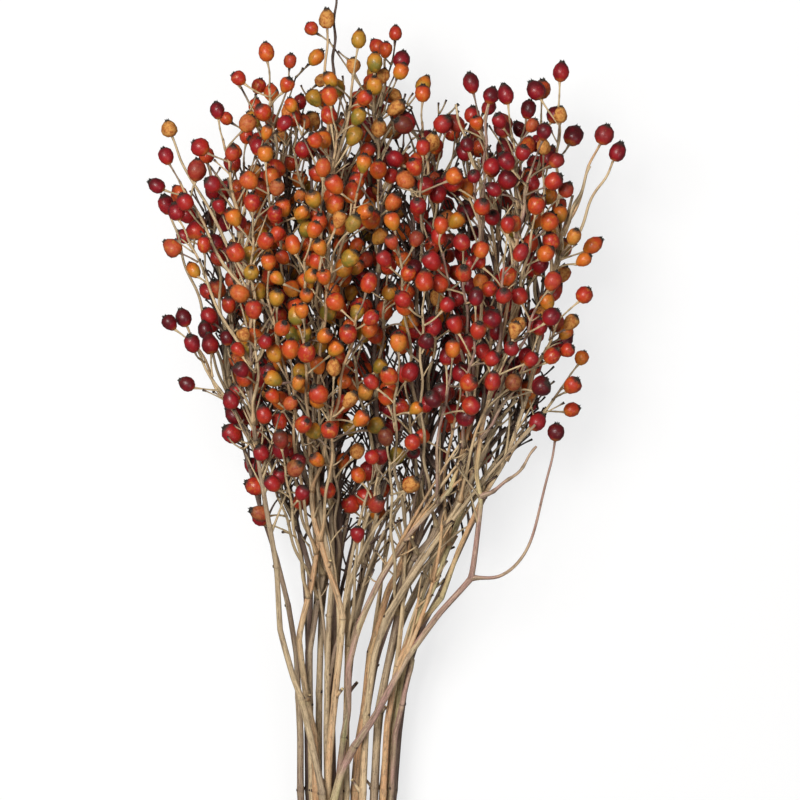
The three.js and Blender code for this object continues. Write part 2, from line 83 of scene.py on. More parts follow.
# A sprig: layer, cane radius at foot and tip, cane path (x, y), then its trusses
# (x, y, z, hips, ripeness, dried share, route). One hip alone, or none, is a single
# twig. A route is the height where the twig leaves its cane and where it bends.
SPRIGS = [
    {"name": "sprig_01", "layer": 5, "r": [2.1, 0.7],
     "cane": [[-14, 0], [-13.8, 55], [-14.5, 100], [-19.5, 124.5], [-25, 148.5], [-29.5, 161],
        [-35.5, 184], [-37, 216], [-42.5, 250], [-47, 280], [-49, 300], [-49, 345], [-54, 385],
        [-60, 410]],
     "trusses": [[-76, 326, 80, 4, 0.9], [-80, 380, 86, 5, 0.8], [-84, 408, 84, 5, 0.8],
        [-62, 428, 98, 6, 0.85], [-47, 380, 106, 7, 0.55], [-46, 330, 96, 5, 0.8],
        [-90, 435, 80, 1, 0.85], [-83, 341, 74, 1, 0.9]]},
    {"name": "sprig_02", "layer": 5, "r": [2.3, 0.7],
     "cane": [[-7.5, 2], [-8.3, 55], [-8.8, 95], [-5, 110], [1.8, 124], [12.5, 140], [28.5, 169.5],
        [44.5, 192], [60.5, 210.2], [62.8, 224.3], [65.5, 249.8], [63, 264], [66, 287], [72, 314],
        [78, 345], [84, 385], [88, 406]],
     "trusses": [[88, 318, 80, 6, 0.95], [92, 345, 92, 5, 0.8], [76, 368, 104, 5, 0.8],
        [90, 414, 96, 5, 0.9], [103.5, 284, 62, 1, 0.9, 0, [210.5, 92, 200, 56]],
        [93, 277, 72, 0, 0.9, 0, [252, 82, 258, 72]]]},
    {"name": "sprig_03", "layer": 4, "r": [2.3, 0.7],
     "cane": [[-13.5, 0], [-13, 55], [-12, 100], [-11, 120], [-8, 149.5], [-4, 189.5], [-7.5, 204],
        [-11.5, 216], [-18.5, 240.5], [-20, 270], [-16, 310], [-12, 350], [-9, 400], [-10, 446]],
     "trusses": [[-22, 330, 108, 5, 0.3], [-8, 300, 96, 7, 0.4], [4, 342, 110, 7, 0.5],
        [-8, 370, 114, 7, 0.35], [4, 402, 102, 6, 0.45], [-6, 432, 94, 6, 0.55],
        [2, 460, 88, 6, 0.3, 0.6], [-4.5, 388, 120, 1, 0.4, 1, [340, -22, 352, 110]],
        [-11, 489, 84, 1, 0.3, 1], [-7, 500, 76, 0, 0.1]]},
    {"name": "sprig_04", "layer": 4, "r": [2.2, 0.7],
     "cane": [[-7.5, 3], [-7.5, 55], [-6.3, 100], [-5, 116], [-3.5, 128.5], [-1.5, 142], [-1, 165],
        [4.5, 187], [15, 209.5], [27, 229.5], [38, 242], [50, 255], [55.5, 271], [60.5, 290], [64, 320],
        [66, 350], [66, 390], [64, 420]],
     "trusses": [[50, 312, 94, 6, 0.8], [62, 334, 102, 6, 0.85], [56, 366, 106, 6, 0.6],
        [62, 412, 98, 6, 0.85], [46, 372, 104, 5, 0.75], [68, 444, 96, 0, 0.9]]},
    {"name": "sprig_05", "layer": 4, "r": [2.1, 0.7],
     "cane": [[4, 0], [4.5, 55], [6, 100], [8, 140], [12, 170], [18, 190], [30, 210], [44, 230],
        [57, 252], [68, 275], [76, 310], [82, 350], [84, 390], [82, 420]],
     "trusses": [[80, 432, 90, 6, 0.85], [90, 384, 98, 5, 0.5], [76, 318, 92, 5, 0.9],
        [52, 446, 88, 0, 0.9]]},
    {"name": "sprig_06", "layer": 4, "r": [1.9, 0.7],
     "cane": [[14, 0], [14, 55], [16.5, 100], [18.5, 135], [23.5, 165], [33, 184], [46, 200], [54, 223],
        [66, 250], [78, 270], [88, 300], [97, 340], [104, 375], [111, 402]],
     "trusses": [[104, 340, 76, 5, 0.5], [106, 374, 76, 6, 0.35], [96, 412, 80, 5, 0.9],
        [104, 446, 72, 4, 0.9], [106, 306, 60, 4, 0.55], [126.5, 432, 78, 1, 0.85],
        [133.5, 424, 72, 1, 0.85], [119.5, 416, 80, 0, 0.9]]},
    {"name": "sprig_07", "layer": 4, "r": [1.4, 1.2],
     "cane": [[19, 4], [18.5, 55], [20.8, 102], [21.8, 116.5], [22.5, 129], [26, 145], [29, 158],
        [31.5, 167], [30, 172]],
     "trusses": []},
    {"name": "sprig_08", "layer": 3, "r": [2.1, 0.7],
     "cane": [[-19, 0], [-18.5, 55], [-18, 100], [-18.5, 128], [-22.5, 146.5], [-26.5, 179],
        [-19.5, 208.5], [-17, 224.5], [-15.5, 244.5], [-22, 285], [-28, 330], [-34, 380], [-38, 420],
        [-40, 446]],
     "trusses": [[-32, 268, 84, 5, 0.9], [-28, 310, 94, 7, 0.35], [-40, 350, 98, 7, 0.3],
        [-22, 368, 105, 7, 0.3], [-40, 405, 98, 7, 0.6], [-40, 455, 80, 7, 0.55]]},
    {"name": "sprig_09", "layer": 3, "r": [2.0, 0.7],
     "cane": [[-12, 3], [-12.2, 55], [-12, 100], [-12.5, 130], [-12, 160], [-11, 190], [-9, 215],
        [-10, 245], [-10, 285], [-14, 330], [-18, 380], [-20, 425]],
     "trusses": [[-20, 334, 88, 7, 0.3], [-30, 385, 84, 7, 0.35], [-14, 396, 96, 6, 0.4],
        [-12, 305, 80, 6, 0.4], [-28, 425, 76, 5, 0.6]]},
    {"name": "sprig_10", "layer": 3, "r": [2.0, 0.7],
     "cane": [[-4, 0], [-4, 55], [-2.5, 100], [-2.5, 130], [-1.5, 172], [-1.5, 203], [4, 218], [10, 229],
        [14, 245], [14, 280], [12, 320], [14, 360], [16, 400], [12, 440], [10, 460]],
     "trusses": [[14, 262, 62, 5, 0.8], [2, 322, 72, 7, 0.4], [18, 352, 80, 7, 0.55],
        [14, 402, 78, 6, 0.55], [12, 452, 76, 7, 0.35, 0.3], [4, 233, 66, 1, 0.95],
        [17.5, 475, 66, 1, 0.8]]},
    {"name": "sprig_11", "layer": 3, "r": [2.4, 0.7],
     "cane": [[9, 0], [9.5, 55], [12, 102], [14, 140.5], [19, 166], [24.5, 193.5], [25.5, 206], [31, 219],
        [40.5, 229.5], [47.5, 245.7], [44.5, 264.5], [36, 274], [34, 296], [34, 330], [32, 370],
        [32, 412]],
     "trusses": [[36, 345, 110, 7, 0.75], [24, 375, 108, 6, 0.7], [36, 412, 100, 6, 0.75],
        [24, 312, 100, 6, 0.6], [20, 270, 84, 5, 0.8]]},
    {"name": "sprig_12", "layer": 3, "r": [2.0, 0.7],
     "cane": [[15.5, 0], [16, 55], [19.5, 100], [21.5, 130], [26, 160], [33, 185], [43, 207], [51, 230],
        [60, 255], [66, 290], [70, 330], [74, 370], [76, 410]],
     "trusses": [[54, 298, 76, 5, 0.9], [74, 345, 70, 6, 0.85], [70, 400, 76, 6, 0.9],
        [64, 440, 80, 6, 0.85]]},
    {"name": "sprig_13", "layer": 2, "r": [2.1, 0.7],
     "cane": [[-24, 0], [-24, 55], [-26, 100], [-26, 128.5], [-27, 148], [-28, 170], [-32, 195],
        [-38, 220], [-46, 245], [-54, 275], [-62, 310], [-67, 345]],
     "trusses": [[-48, 300, 66, 6, 0.7], [-60, 350, 56, 5, 0.75], [-56, 385, 66, 6, 0.55],
        [-70, 405, 58, 5, 0.85], [-92, 398, 62, 1, 0.85], [-72.5, 335, 62, 1, 0.9]]},
    {"name": "sprig_14", "layer": 2, "r": [1.9, 0.7],
     "cane": [[-18.5, 2], [-18.5, 55], [-20.2, 100], [-21, 144], [-21, 172], [-17, 196], [-13, 216.5],
        [-18, 245], [-26, 270], [-33, 300], [-40, 335], [-46, 368]],
     "trusses": [[-38, 256, 52, 6, 0.95], [-32, 276, 66, 6, 0.85], [-36, 332, 66, 7, 0.45],
        [-48, 370, 58, 6, 0.5]]},
    {"name": "sprig_15", "layer": 2, "r": [2.2, 0.7],
     "cane": [[-8, 0], [-8.5, 55], [-9.5, 100], [-10, 150], [-8.5, 190], [-6, 220], [-6, 250], [-6, 290],
        [-4, 330], [-4, 370], [-6, 410], [-8, 440]],
     "trusses": [[-8, 272, 60, 5, 0.6], [-4, 345, 62, 6, 0.5], [-8, 386, 64, 6, 0.5],
        [-2, 425, 66, 5, 0.55]]},
    {"name": "sprig_16", "layer": 2, "r": [2.6, 0.7],
     "cane": [[0, 2], [0.5, 55], [2, 100], [4, 125], [7, 142.5], [10, 171], [19, 203], [24.5, 213],
        [31, 230], [35, 250], [38, 280], [38, 320], [42, 360], [44, 400], [41, 434]],
     "trusses": [[30, 298, 64, 5, 0.8], [44, 348, 72, 6, 0.8], [42, 390, 72, 6, 0.8],
        [36, 438, 76, 7, 0.8]]},
    {"name": "sprig_17", "layer": 2, "r": [2.2, 0.7],
     "cane": [[13.5, 0], [14, 55], [16.5, 102], [18.5, 124.5], [23, 148], [25, 164], [31.7, 186.5],
        [37.5, 204], [44, 220], [53, 245], [60, 280], [66, 320], [74, 350], [82, 380], [86, 412]],
     "trusses": [[86, 350, 58, 5, 0.7], [92, 390, 58, 5, 0.5], [86, 432, 62, 5, 0.9],
        [76, 316, 52, 5, 0.9]]},
    {"name": "sprig_18", "layer": 1, "r": [2.1, 0.7],
     "cane": [[-20.5, 0], [-20, 55], [-22, 100], [-22.5, 140], [-22, 170], [-21, 200], [-21.5, 214],
        [-26, 231], [-33, 246], [-44, 280], [-56, 320], [-66, 362], [-73, 396]],
     "trusses": [[-52, 308, 26, 4, 0.8], [-62, 360, 20, 5, 0.75], [-76, 388, 36, 4, 0.8],
        [-54, 420, 40, 5, 0.7], [-40, 264, 28, 4, 0.9]]},
    {"name": "sprig_19", "layer": 1, "r": [2.2, 0.7],
     "cane": [[-15, 0], [-15, 55], [-16.8, 100], [-16.5, 150], [-15, 200], [-16, 240], [-20, 290],
        [-26, 345], [-32, 395], [-34, 430]],
     "trusses": [[-34, 300, 24, 4, 0.7], [-36, 345, 30, 4, 0.5], [-34, 392, 30, 5, 0.5],
        [-30, 430, 44, 4, 0.6]]},
    {"name": "sprig_20", "layer": 1, "r": [2.3, 0.7],
     "cane": [[-10, 0], [-10, 55], [-11.2, 100], [-10, 150], [-8, 200], [-8, 250], [-10, 300], [-12, 350],
        [-14, 400], [-14, 438]],
     "trusses": [[-14, 310, 22, 4, 0.7], [-16, 350, 26, 4, 0.5], [-12, 395, 28, 4, 0.6],
        [-14, 436, 44, 4, 0.6]]},
    {"name": "sprig_21", "layer": 1, "r": [2.1, 0.7],
     "cane": [[-3.5, 0], [-3.5, 55], [-4, 100], [-2, 150], [2, 190], [8, 225], [12, 260], [12, 310],
        [10, 360], [10, 410], [12, 440]],
     "trusses": [[8, 250, 32, 4, 0.7], [8, 305, 24, 4, 0.8], [6, 352, 28, 5, 0.8], [12, 395, 30, 5, 0.7],
        [16, 430, 40, 4, 0.8]]},
    {"name": "sprig_22", "layer": 1, "r": [2.2, 0.7],
     "cane": [[3, 0], [3, 55], [5, 100], [8, 140], [12, 164], [16, 182], [22, 200], [29.5, 216],
        [36, 245], [38, 290], [36, 340], [34, 390], [34, 428]],
     "trusses": [[28, 290, 24, 4, 0.8], [36, 330, 26, 4, 0.9], [30, 372, 28, 5, 0.8],
        [36, 410, 34, 4, 0.8]]},
    {"name": "sprig_23", "layer": 1, "r": [2.0, 0.7],
     "cane": [[9, 0], [9.5, 55], [11.5, 100], [15, 140], [20, 170], [28, 192], [38, 212], [48, 236],
        [56, 270], [60, 320], [60, 370], [60, 415]],
     "trusses": [[52, 310, 22, 4, 0.9], [58, 352, 26, 4, 0.9], [56, 392, 32, 4, 0.85],
        [60, 430, 42, 4, 0.85]]},
    {"name": "sprig_24", "layer": 1, "r": [2.0, 0.7],
     "cane": [[16.5, 0], [17, 55], [22, 100], [24.5, 130], [28.5, 160], [36, 183], [46, 202], [56, 224],
        [68, 250], [82, 285], [92, 320], [98, 360], [98, 394]],
     "trusses": [[84, 305, 24, 4, 0.9], [100, 325, 22, 4, 0.85], [90, 360, 26, 4, 0.6],
        [104, 364, 36, 4, 0.5], [88, 405, 36, 4, 0.7], [96, 440, 54, 4, 0.9]]},
]


# ------------------------------------------------------------------ growth
def stream(seed):
    """Park and Miller's generator, one stream for every sprig."""
    state = seed

    def draw():
        nonlocal state
        state = (state * 48271) % 2147483647
        return state / 2147483647

    for _ in range(5):
        draw()
    return draw


def spread(draw, low, high):
    return low + (high - low) * draw()


def vec(*xyz):
    return np.array(xyz, float)


def dot(a, b):
    return a[..., 0] * b[..., 0] + a[..., 1] * b[..., 1] + a[..., 2] * b[..., 2]


def length(a):
    return math.sqrt(dot(a, a))


def unit(a):
    return a * (1 / length(a))


def layer_height(layer, y):
    heights = LAYER_Z[layer]
    for i in range(len(LAYER_Y) - 1):
        if y <= LAYER_Y[i + 1]:
            t = (y - LAYER_Y[i]) / (LAYER_Y[i + 1] - LAYER_Y[i])
            return heights[i] + (heights[i + 1] - heights[i]) * t
    return heights[-1]


UP = vec(0, 0, 1)


class Placed:
    """Every capsule placed so far: ends, radius, owner, and whether it is a hip."""

    def __init__(self):
        self.a = np.zeros((PLACED_MOST, 3))
        self.b = np.zeros((PLACED_MOST, 3))
        self.r = np.zeros(PLACED_MOST)
        self.owner = np.zeros(PLACED_MOST, int)
        self.hip = np.zeros(PLACED_MOST, bool)
        self.n = 0

    def add(self, a, b, r, owner, hip):
        n = self.n
        self.a[n], self.b[n], self.r[n], self.owner[n], self.hip[n] = a, b, r, owner, hip
        self.n += 1

    def clear(self, p, q, r, owner, hip):
        """Whether a capsule p-q stands clear of all but its own sprig's wood."""
        n = self.n
        a, b = self.a[:n], self.b[:n]
        d1 = q - p
        d2 = b - a
        w = p - a
        aa = max(dot(d1, d1), TINY)
        ee = np.maximum(dot(d2, d2), TINY)
        f = dot(d2, w)
        c = dot(d1[None, :], w)
        bb = dot(d1[None, :], d2)
        den = aa * ee - bb * bb
        apart = den > TINY
        s = np.where(apart, np.clip((bb * f - c * ee) / np.where(apart, den, 1), 0, 1), 0)
        t = (bb * s + f) / ee
        s = np.where(t < 0, np.clip(-c / aa, 0, 1), np.where(t > 1, np.clip((bb - c) / aa, 0, 1), s))
        t = np.clip(t, 0, 1)
        gap = (p + d1 * s[:, None]) - (a + d2 * t[:, None])
        near = np.sqrt(dot(gap, gap)) <= r + self.r[:n] + GAP
        if not hip:
            near &= (self.owner[:n] != owner) | self.hip[:n]
        return not near.any()


def grow_cane(row, owner, placed):
    points = [vec(x, y, layer_height(row["layer"], y)) for x, y in row["cane"]]
    last = len(points) - 1
    foot, tip = row["r"]
    radii = [foot + (tip - foot) * (i / last) for i in range(last + 1)]
    points[0][2] = max(points[0][2], radii[0] + FLOOR_GAP)
    for i in range(last):
        placed.add(points[i], points[i + 1], radii[i], owner, False)
    return points, radii


def along_path(points, y):
    """Point and direction on a path at height y."""
    last = len(points) - 1
    for i in range(last):
        if y <= points[i + 1][1] or i == last - 1:
            step = points[i + 1] - points[i]
            t = min(1, max(0, (y - points[i][1]) / step[1]))
            return points[i] + step * t, unit(step)


def branch_path(cane, row, end, draw, attempt):
    """A branch leaves the cane well below its truss and curves up to it."""
    level = along_path(cane, end[1])[0]
    side = length(level - end)
    drop = side * spread(draw, *DROP_SHARE) + spread(draw, DROP_MORE[0], DROP_MORE[1] + attempt)
    route = row[6] if len(row) > 6 else None
    leave = route[0] if route else min(end[1] - drop, cane[-1][1] - 1)
    start, way = along_path(cane, leave)
    bend = start + (end - start) * 0.5
    bend = bend + way * (-length(start - end) * spread(draw, *SAG))
    if route:
        bend = vec(*route[1:])
    first, more, most = WANDER
    loose = min(first + attempt * more, most) * (ROUTE_WANDER if route else 1)
    bend[0] += spread(draw, -loose, loose)
    bend[2] += spread(draw, -loose, loose)
    points = []
    for i in range(BRANCH_STEPS + 1):
        t = i / BRANCH_STEPS
        points.append(start * ((1 - t) * (1 - t)) + bend * (2 * (1 - t) * t) + end * (t * t))
    return points


def hip_ends(centre, way, radius):
    half = radius * (HIP_LONG - 1)
    return centre - way * half, centre + way * half


def grow_branch(cane, row, owner, draw, placed):
    end = vec(*row[:3])
    radii = [BRANCH_R[0] + (BRANCH_R[1] - BRANCH_R[0]) * (i / BRANCH_STEPS)
             for i in range(BRANCH_STEPS + 1)]
    for attempt in range(BRANCH_TRIES):
        points = branch_path(cane, row, end, draw, attempt)
        radius = spread(draw, *HIP_R)
        way = unit(end - points[-2])
        hips = []
        if row[3] == 1:
            points[-1] = end - way * (radius * HIP_LONG)
            hips.append((points[-1], end, way, radius))
        trial = [(points[i], points[i + 1], radii[i], owner, False) for i in range(BRANCH_STEPS)]
        trial += [(*hip_ends(end, way, radius), radius, owner, True) for _ in hips]
        if all(a[2] > r and b[2] > r and placed.clear(a, b, r, owner, hip)
               for a, b, r, owner, hip in trial):
            for part in trial:
                placed.add(*part)
            return {"points": points, "radii": radii, "hips": hips, "row": row}
    return None


def pedicel_start(branch, index):
    """Where the pedicel of a hip starts, and the way its branch runs there."""
    points = branch["points"]
    full = length(points[0] - points[-1])
    reach = min(TRUSS_DEPTH, full * 0.6)
    f = BRANCH_STEPS * (1 - (reach / full) * (index / branch["row"][3]))
    k = min(BRANCH_STEPS - 1, math.floor(f))
    return points[k] + (points[k + 1] - points[k]) * (f - k), unit(points[k + 1] - points[k])


def grow_hip(branch, index, owner, draw, placed):
    """Hips stand out around the end of the branch on stiff pedicels."""
    base, way = pedicel_start(branch, index)
    side = unit(np.cross(UP, way))
    over = np.cross(way, side)
    radius = spread(draw, *HIP_R)
    for attempt in range(HIP_TRIES):
        turn = index * GOLDEN_ANGLE + branch["row"][0] + spread(draw, -0.4, 0.4) * (1 + attempt * 0.2)
        tilt = (0.1 if index == 0 else 0.75) + spread(draw, -0.2, 0.25) * (1 + attempt * 0.08)
        arm = spread(draw, *HIP_ARM) + attempt * 0.2
        out = way * math.cos(tilt) + side * (math.sin(tilt) * math.cos(turn))
        out = out + over * (math.sin(tilt) * math.sin(turn))
        centre = base + out * (arm + radius * HIP_LONG)
        if centre[2] < radius + FLOOR_GAP:
            centre[2] = radius + FLOOR_GAP
            out = unit(centre - base)
            out[2] = max(out[2], -0.9)
        foot = centre - out * (radius * HIP_LONG)
        a, b = hip_ends(centre, out, radius)
        a[2], b[2] = max(a[2], radius), max(b[2], radius)
        if (foot[2] > 1 and placed.clear(a, b, radius, owner, True)
                and placed.clear(base, foot, PEDICEL_R, owner, False)):
            placed.add(a, b, radius, owner, True)
            placed.add(base, foot, PEDICEL_R, owner, False)
            branch["hips"].append((base, centre, out, radius))
            return


def grow_bunch():
    placed = Placed()
    sprigs = []
    for i, row in enumerate(SPRIGS):
        points, radii = grow_cane(row, i, placed)
        sprigs.append({"name": row["name"], "row": row, "points": points, "radii": radii,
                       "draw": stream(1009 + 7919 * i), "branches": [], "owner": i})
    for single in (True, False):
        for sprig in sprigs:
            for row in sprig["row"]["trusses"]:
                if (row[3] <= 1) == single:
                    branch = grow_branch(sprig["points"], row, sprig["owner"], sprig["draw"], placed)
                    if branch:
                        sprig["branches"].append(branch)
    for index in range(HIPS_MOST):
        for sprig in sprigs:
            for branch in sprig["branches"]:
                if branch["row"][3] > 1 and index < branch["row"][3]:
                    grow_hip(branch, index, sprig["owner"], sprig["draw"], placed)
    return sprigs, placed


# ------------------------------------------------------------------ placing
def capsule_shift(placed):
    """The footprint's middle goes to the origin and the lowest point to z = 0."""
    n = placed.n
    low = (np.minimum(placed.a[:n], placed.b[:n]) - placed.r[:n, None]).min(0)
    high = (np.maximum(placed.a[:n], placed.b[:n]) + placed.r[:n, None]).max(0)
    return vec(-(low[0] + high[0]) / 2, -(low[1] + high[1]) / 2, -low[2])


sprigs, placed = grow_bunch()
SHIFT = capsule_shift(placed)


def to_scene(points):
    """Growth millimetres to the row frame in metres."""
    return (np.asarray(points, float) + SHIFT) * MM


# ------------------------------------------------------------------ camera and light
VIEW_MIDDLE = vec(25, 300, 65)
VIEW_WIDTH = 400
VIEW_DISTANCE = 2000
SENSOR = 36
# What follows is in metres. Each lamp has a place, a width, a power in watts and a colour.
VIEW_FAR = 50
COOL_WHITE = (0.97, 0.98, 1)
LAMPS = {"key": ((-0.6, 0.45, 1.8), 0.95, 38, (1, 0.985, 0.96)),
         "fill": ((0.9, -0.7, 1.5), 1.2, 7, COOL_WHITE)}
SKY_STRENGTH = 0.15
STAGE_SIZE = 6
FLOOR_WHITE = 0.25
FLOOR_GLOW = 0.73
BACKDROP_GLOW = 0.82


def add_object(name, data):
    thing = bpy.data.objects.new(name, data)
    bpy.context.scene.collection.objects.link(thing)
    return thing


def add_camera():
    data = bpy.data.cameras.new("camera")
    data.sensor_width = SENSOR
    data.lens = SENSOR * VIEW_DISTANCE / VIEW_WIDTH
    data.clip_end = VIEW_FAR
    camera = add_object("camera", data)
    camera.location = to_scene(VIEW_MIDDLE + vec(0, 0, VIEW_DISTANCE))
    bpy.context.scene.camera = camera


def add_lights():
    world = bpy.data.worlds.new("studio")
    world.use_nodes = True
    sky = world.node_tree.nodes["Background"].inputs
    sky["Color"].default_value = (*COOL_WHITE, 1)
    sky["Strength"].default_value = SKY_STRENGTH
    bpy.context.scene.world = world
    for name, (place, width, power, colour) in LAMPS.items():
        data = bpy.data.lights.new(name, "AREA")
        data.shape = "DISK"
        data.size = width
        data.energy = power
        data.color = colour
        lamp = add_object(name, data)
        lamp.location = place
        lamp.rotation_euler = (-lamp.location).to_track_quat("-Z", "Y").to_euler()
    bpy.context.scene.view_settings.view_transform = "Standard"


# ------------------------------------------------------------------ shader maths
class Value:
    """A shader socket that sums, differences and products can be written with."""

    def __init__(self, finish, socket):
        self.finish = finish
        self.socket = socket

    def maths(self, operation, *values):
        return self.finish.node("Math", {"operation": operation}, dict(enumerate(values)))

    def __add__(self, other):
        return self.maths("ADD", self, other)

    def __radd__(self, other):
        return self.maths("ADD", other, self)

    def __sub__(self, other):
        return self.maths("SUBTRACT", self, other)

    def __rsub__(self, other):
        return self.maths("SUBTRACT", other, self)

    def __mul__(self, other):
        return self.maths("MULTIPLY", self, other)

    def __rmul__(self, other):
        return self.maths("MULTIPLY", other, self)

    def step(self, low, high):
        """0 below low, 1 above high, smooth between."""
        return self.finish.node("MapRange", {"interpolation_type": "SMOOTHSTEP"},
                                {"Value": self, "From Min": low, "From Max": high})

    def ramp(self, stops):
        """Colours blended between stops of place, red, green and blue."""
        return self.finish.node("ValToRGB", {"stops": stops}, {"Fac": self})


class Finish:
    """One material, built node by node."""

    def __init__(self, name):
        self.material = bpy.data.materials.new(name)
        self.material.use_nodes = True
        self.tree = self.material.node_tree
        self.shader = self.tree.nodes["Principled BSDF"]

    def node(self, kind, settings, inputs, output=0):
        node = self.tree.nodes.new("ShaderNode" + kind)
        for key, value in settings.items():
            if key == "stops":
                self.set_stops(node.color_ramp, value)
            else:
                setattr(node, key, value)
        for key, value in inputs.items():
            self.feed(node.inputs[key], value)
        return Value(self, node.outputs[output])

    def set_stops(self, ramp, stops):
        while len(ramp.elements) < len(stops):
            ramp.elements.new(0.5)
        for element, (place, *colour) in zip(ramp.elements, stops):
            element.position = place
            element.color = (*tint(*colour), 1)

    def feed(self, socket, value):
        if isinstance(value, Value):
            self.tree.links.new(value.socket, socket)
        elif socket.type == "RGBA" and len(value) == 3:
            socket.default_value = (*value, 1)
        else:
            socket.default_value = value

    def attribute(self, name, output="Fac"):
        return self.node("Attribute", {"attribute_name": name}, {}, output)

    def object_place(self):
        return self.node("TexCoord", {}, {}, "Object")

    def stretch(self, vector, factors):
        return self.node("VectorMath", {"operation": "MULTIPLY"}, {0: vector, 1: factors})

    def noise(self, vector, scale, detail=2, roughness=0.5):
        return self.node("TexNoise", {}, {"Vector": vector, "Scale": scale, "Detail": detail,
                                          "Roughness": roughness})

    def cells(self, vector, scale):
        """Distance from the middle of the nearest cell."""
        return self.node("TexVoronoi", {}, {"Vector": vector, "Scale": scale})

    def mix(self, share, a, b):
        """Colours a and b mixed by share."""
        return self.node("Mix", {"data_type": "RGBA"}, {0: share, 6: a, 7: b}, 2)

    def coats(self, colour, *coats):
        """Lays coats over a colour in turn: where, how strongly, red, green, blue."""
        for where, share, *over in coats:
            colour = self.mix(where * share, colour, tint(*over))
        return colour

    def bump(self, height, strength, distance):
        return self.node("Bump", {}, {"Strength": strength, "Distance": distance, "Height": height})

    def finish(self, **inputs):
        names = {"colour": "Base Color", "roughness": "Roughness", "coat": "Coat Weight",
                 "normal": "Normal", "coat_roughness": "Coat Roughness", "specular": "Specular IOR Level",
                 "emission": "Emission Color", "emission_strength": "Emission Strength"}
        for key, value in inputs.items():
            self.feed(self.shader.inputs[names[key]], value)
        return self.material


def tint(*levels):
    """A colour given as 0 to 255 display values, in linear light."""
    return tuple(((level / 255 + 0.055) / 1.055) ** 2.4 for level in levels)


# ------------------------------------------------------------------ shapes
MERGE = 1e-5
CALYX_PROFILE = [(0.22, -0.1), (0.31, -0.02), (0.28, 0.08), (0.15, 0.13), (0.0, 0.1)]
CALYX_SIDES = 8
CALYX_POINTS = 5
CURVE_STEPS = 24
RING_CLEAR = 0.3
KINK_SHARE = 0.25

templates = {}


def mesh_of(bm, name):
    mesh = bpy.data.meshes.new(name)
    bm.to_mesh(mesh)
    bm.free()
    return mesh


class Piece:
    """A mesh put together from copies of template shapes, with values at its corners."""

    def __init__(self, name):
        self.name = name
        self.bm = bmesh.new()
        self.places = []
        self.values = {}

    def add(self, template, places, **values):
        """A copy of the template with its corners at places; a value is a number or an
        array. Every copy in a piece gives the same values."""
        self.bm.from_mesh(template)
        self.places.append(places)
        for key, value in values.items():
            held = np.full(len(places), value) if np.isscalar(value) else value
            self.values.setdefault(key, []).append(held)

    def finish(self, material, slot, replaces=None):
        mesh = mesh_of(self.bm, self.name)
        places = to_scene(np.concatenate(self.places))
        places[:, 2] = np.maximum(places[:, 2], 0)
        mesh.vertices.foreach_set("co", places.ravel())
        for key, parts in self.values.items():
            values = np.concatenate(parts)
            kind, field = ("FLOAT", "value") if values.ndim == 1 else ("FLOAT_VECTOR", "vector")
            mesh.attributes.new(key, kind, "POINT").data.foreach_set(field, values.ravel())
        mesh.materials.append(material)
        mesh.polygons.foreach_set("use_smooth", np.ones(len(mesh.polygons), bool))
        mesh.update()
        piece = add_object(self.name, mesh)
        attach(piece, "root")
        if replaces:
            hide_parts(replaces)


def keep_template(key, bm):
    """Keeps a shape as a mesh and the places of its corners, faces outwards."""
    bmesh.ops.remove_doubles(bm, verts=bm.verts, dist=MERGE)
    bmesh.ops.recalc_face_normals(bm, faces=bm.faces)
    mesh = mesh_of(bm, "template")
    places = np.zeros(len(mesh.vertices) * 3, np.float32)
    mesh.vertices.foreach_get("co", places)
    templates[key] = mesh, places.reshape(-1, 3).astype(float)


def tube_template(sides, rings):
    """A closed tube of radius 1 with a ring of corners at every whole height."""
    key = ("tube", sides, rings)
    if key not in templates:
        bm = bmesh.new()
        bmesh.ops.create_circle(bm, cap_ends=True, segments=sides, radius=1)
        bmesh.ops.reverse_faces(bm, faces=bm.faces)
        edges = bm.edges[:]
        for _ in range(rings - 1):
            grown = bmesh.ops.extrude_edge_only(bm, edges=edges)["geom"]
            ring = [g for g in grown if isinstance(g, bmesh.types.BMVert)]
            edges = [g for g in grown if isinstance(g, bmesh.types.BMEdge)
                     and all(v in ring for v in g.verts)]
            bmesh.ops.translate(bm, verts=ring, vec=(0, 0, 1))
        bmesh.ops.contextual_create(bm, geom=edges)
        keep_template(key, bm)
    return templates[key]


def turn_profile(bm, profile, sides):
    """Turns a profile of (radius, height) about +Z."""
    verts = [bm.verts.new((r, 0, h)) for r, h in profile]
    edges = [bm.edges.new(pair) for pair in zip(verts, verts[1:])]
    bmesh.ops.spin(bm, geom=verts + edges, angle=math.tau, steps=sides, axis=(0, 0, 1),
                   cent=(0, 0, 0), use_merge=True)


def turned_template(key, profile, sides):
    if key not in templates:
        bm = bmesh.new()
        turn_profile(bm, profile, sides)
        keep_template(key, bm)
    return templates[key]


def calyx_template():
    """The dried crown on a hip's tip: a domed collar with five short curled points."""
    if "calyx" not in templates:
        bm = bmesh.new()
        turn_profile(bm, CALYX_PROFILE, CALYX_SIDES)
        for i in range(CALYX_POINTS):
            odd = i % 2
            place = (Matrix.Rotation(i * math.tau / CALYX_POINTS + 0.3 * odd, 4, "Z")
                     @ Matrix.Translation((0.18, 0, 0.14 - 0.03 * (i % 3)))
                     @ Matrix.Rotation(0.3 + 0.5 * odd, 4, "Y"))
            bmesh.ops.create_cone(bm, segments=3, radius1=0.09, radius2=0.02, depth=0.26,
                                  cap_ends=True, matrix=place)
        keep_template("calyx", bm)
    return templates["calyx"]


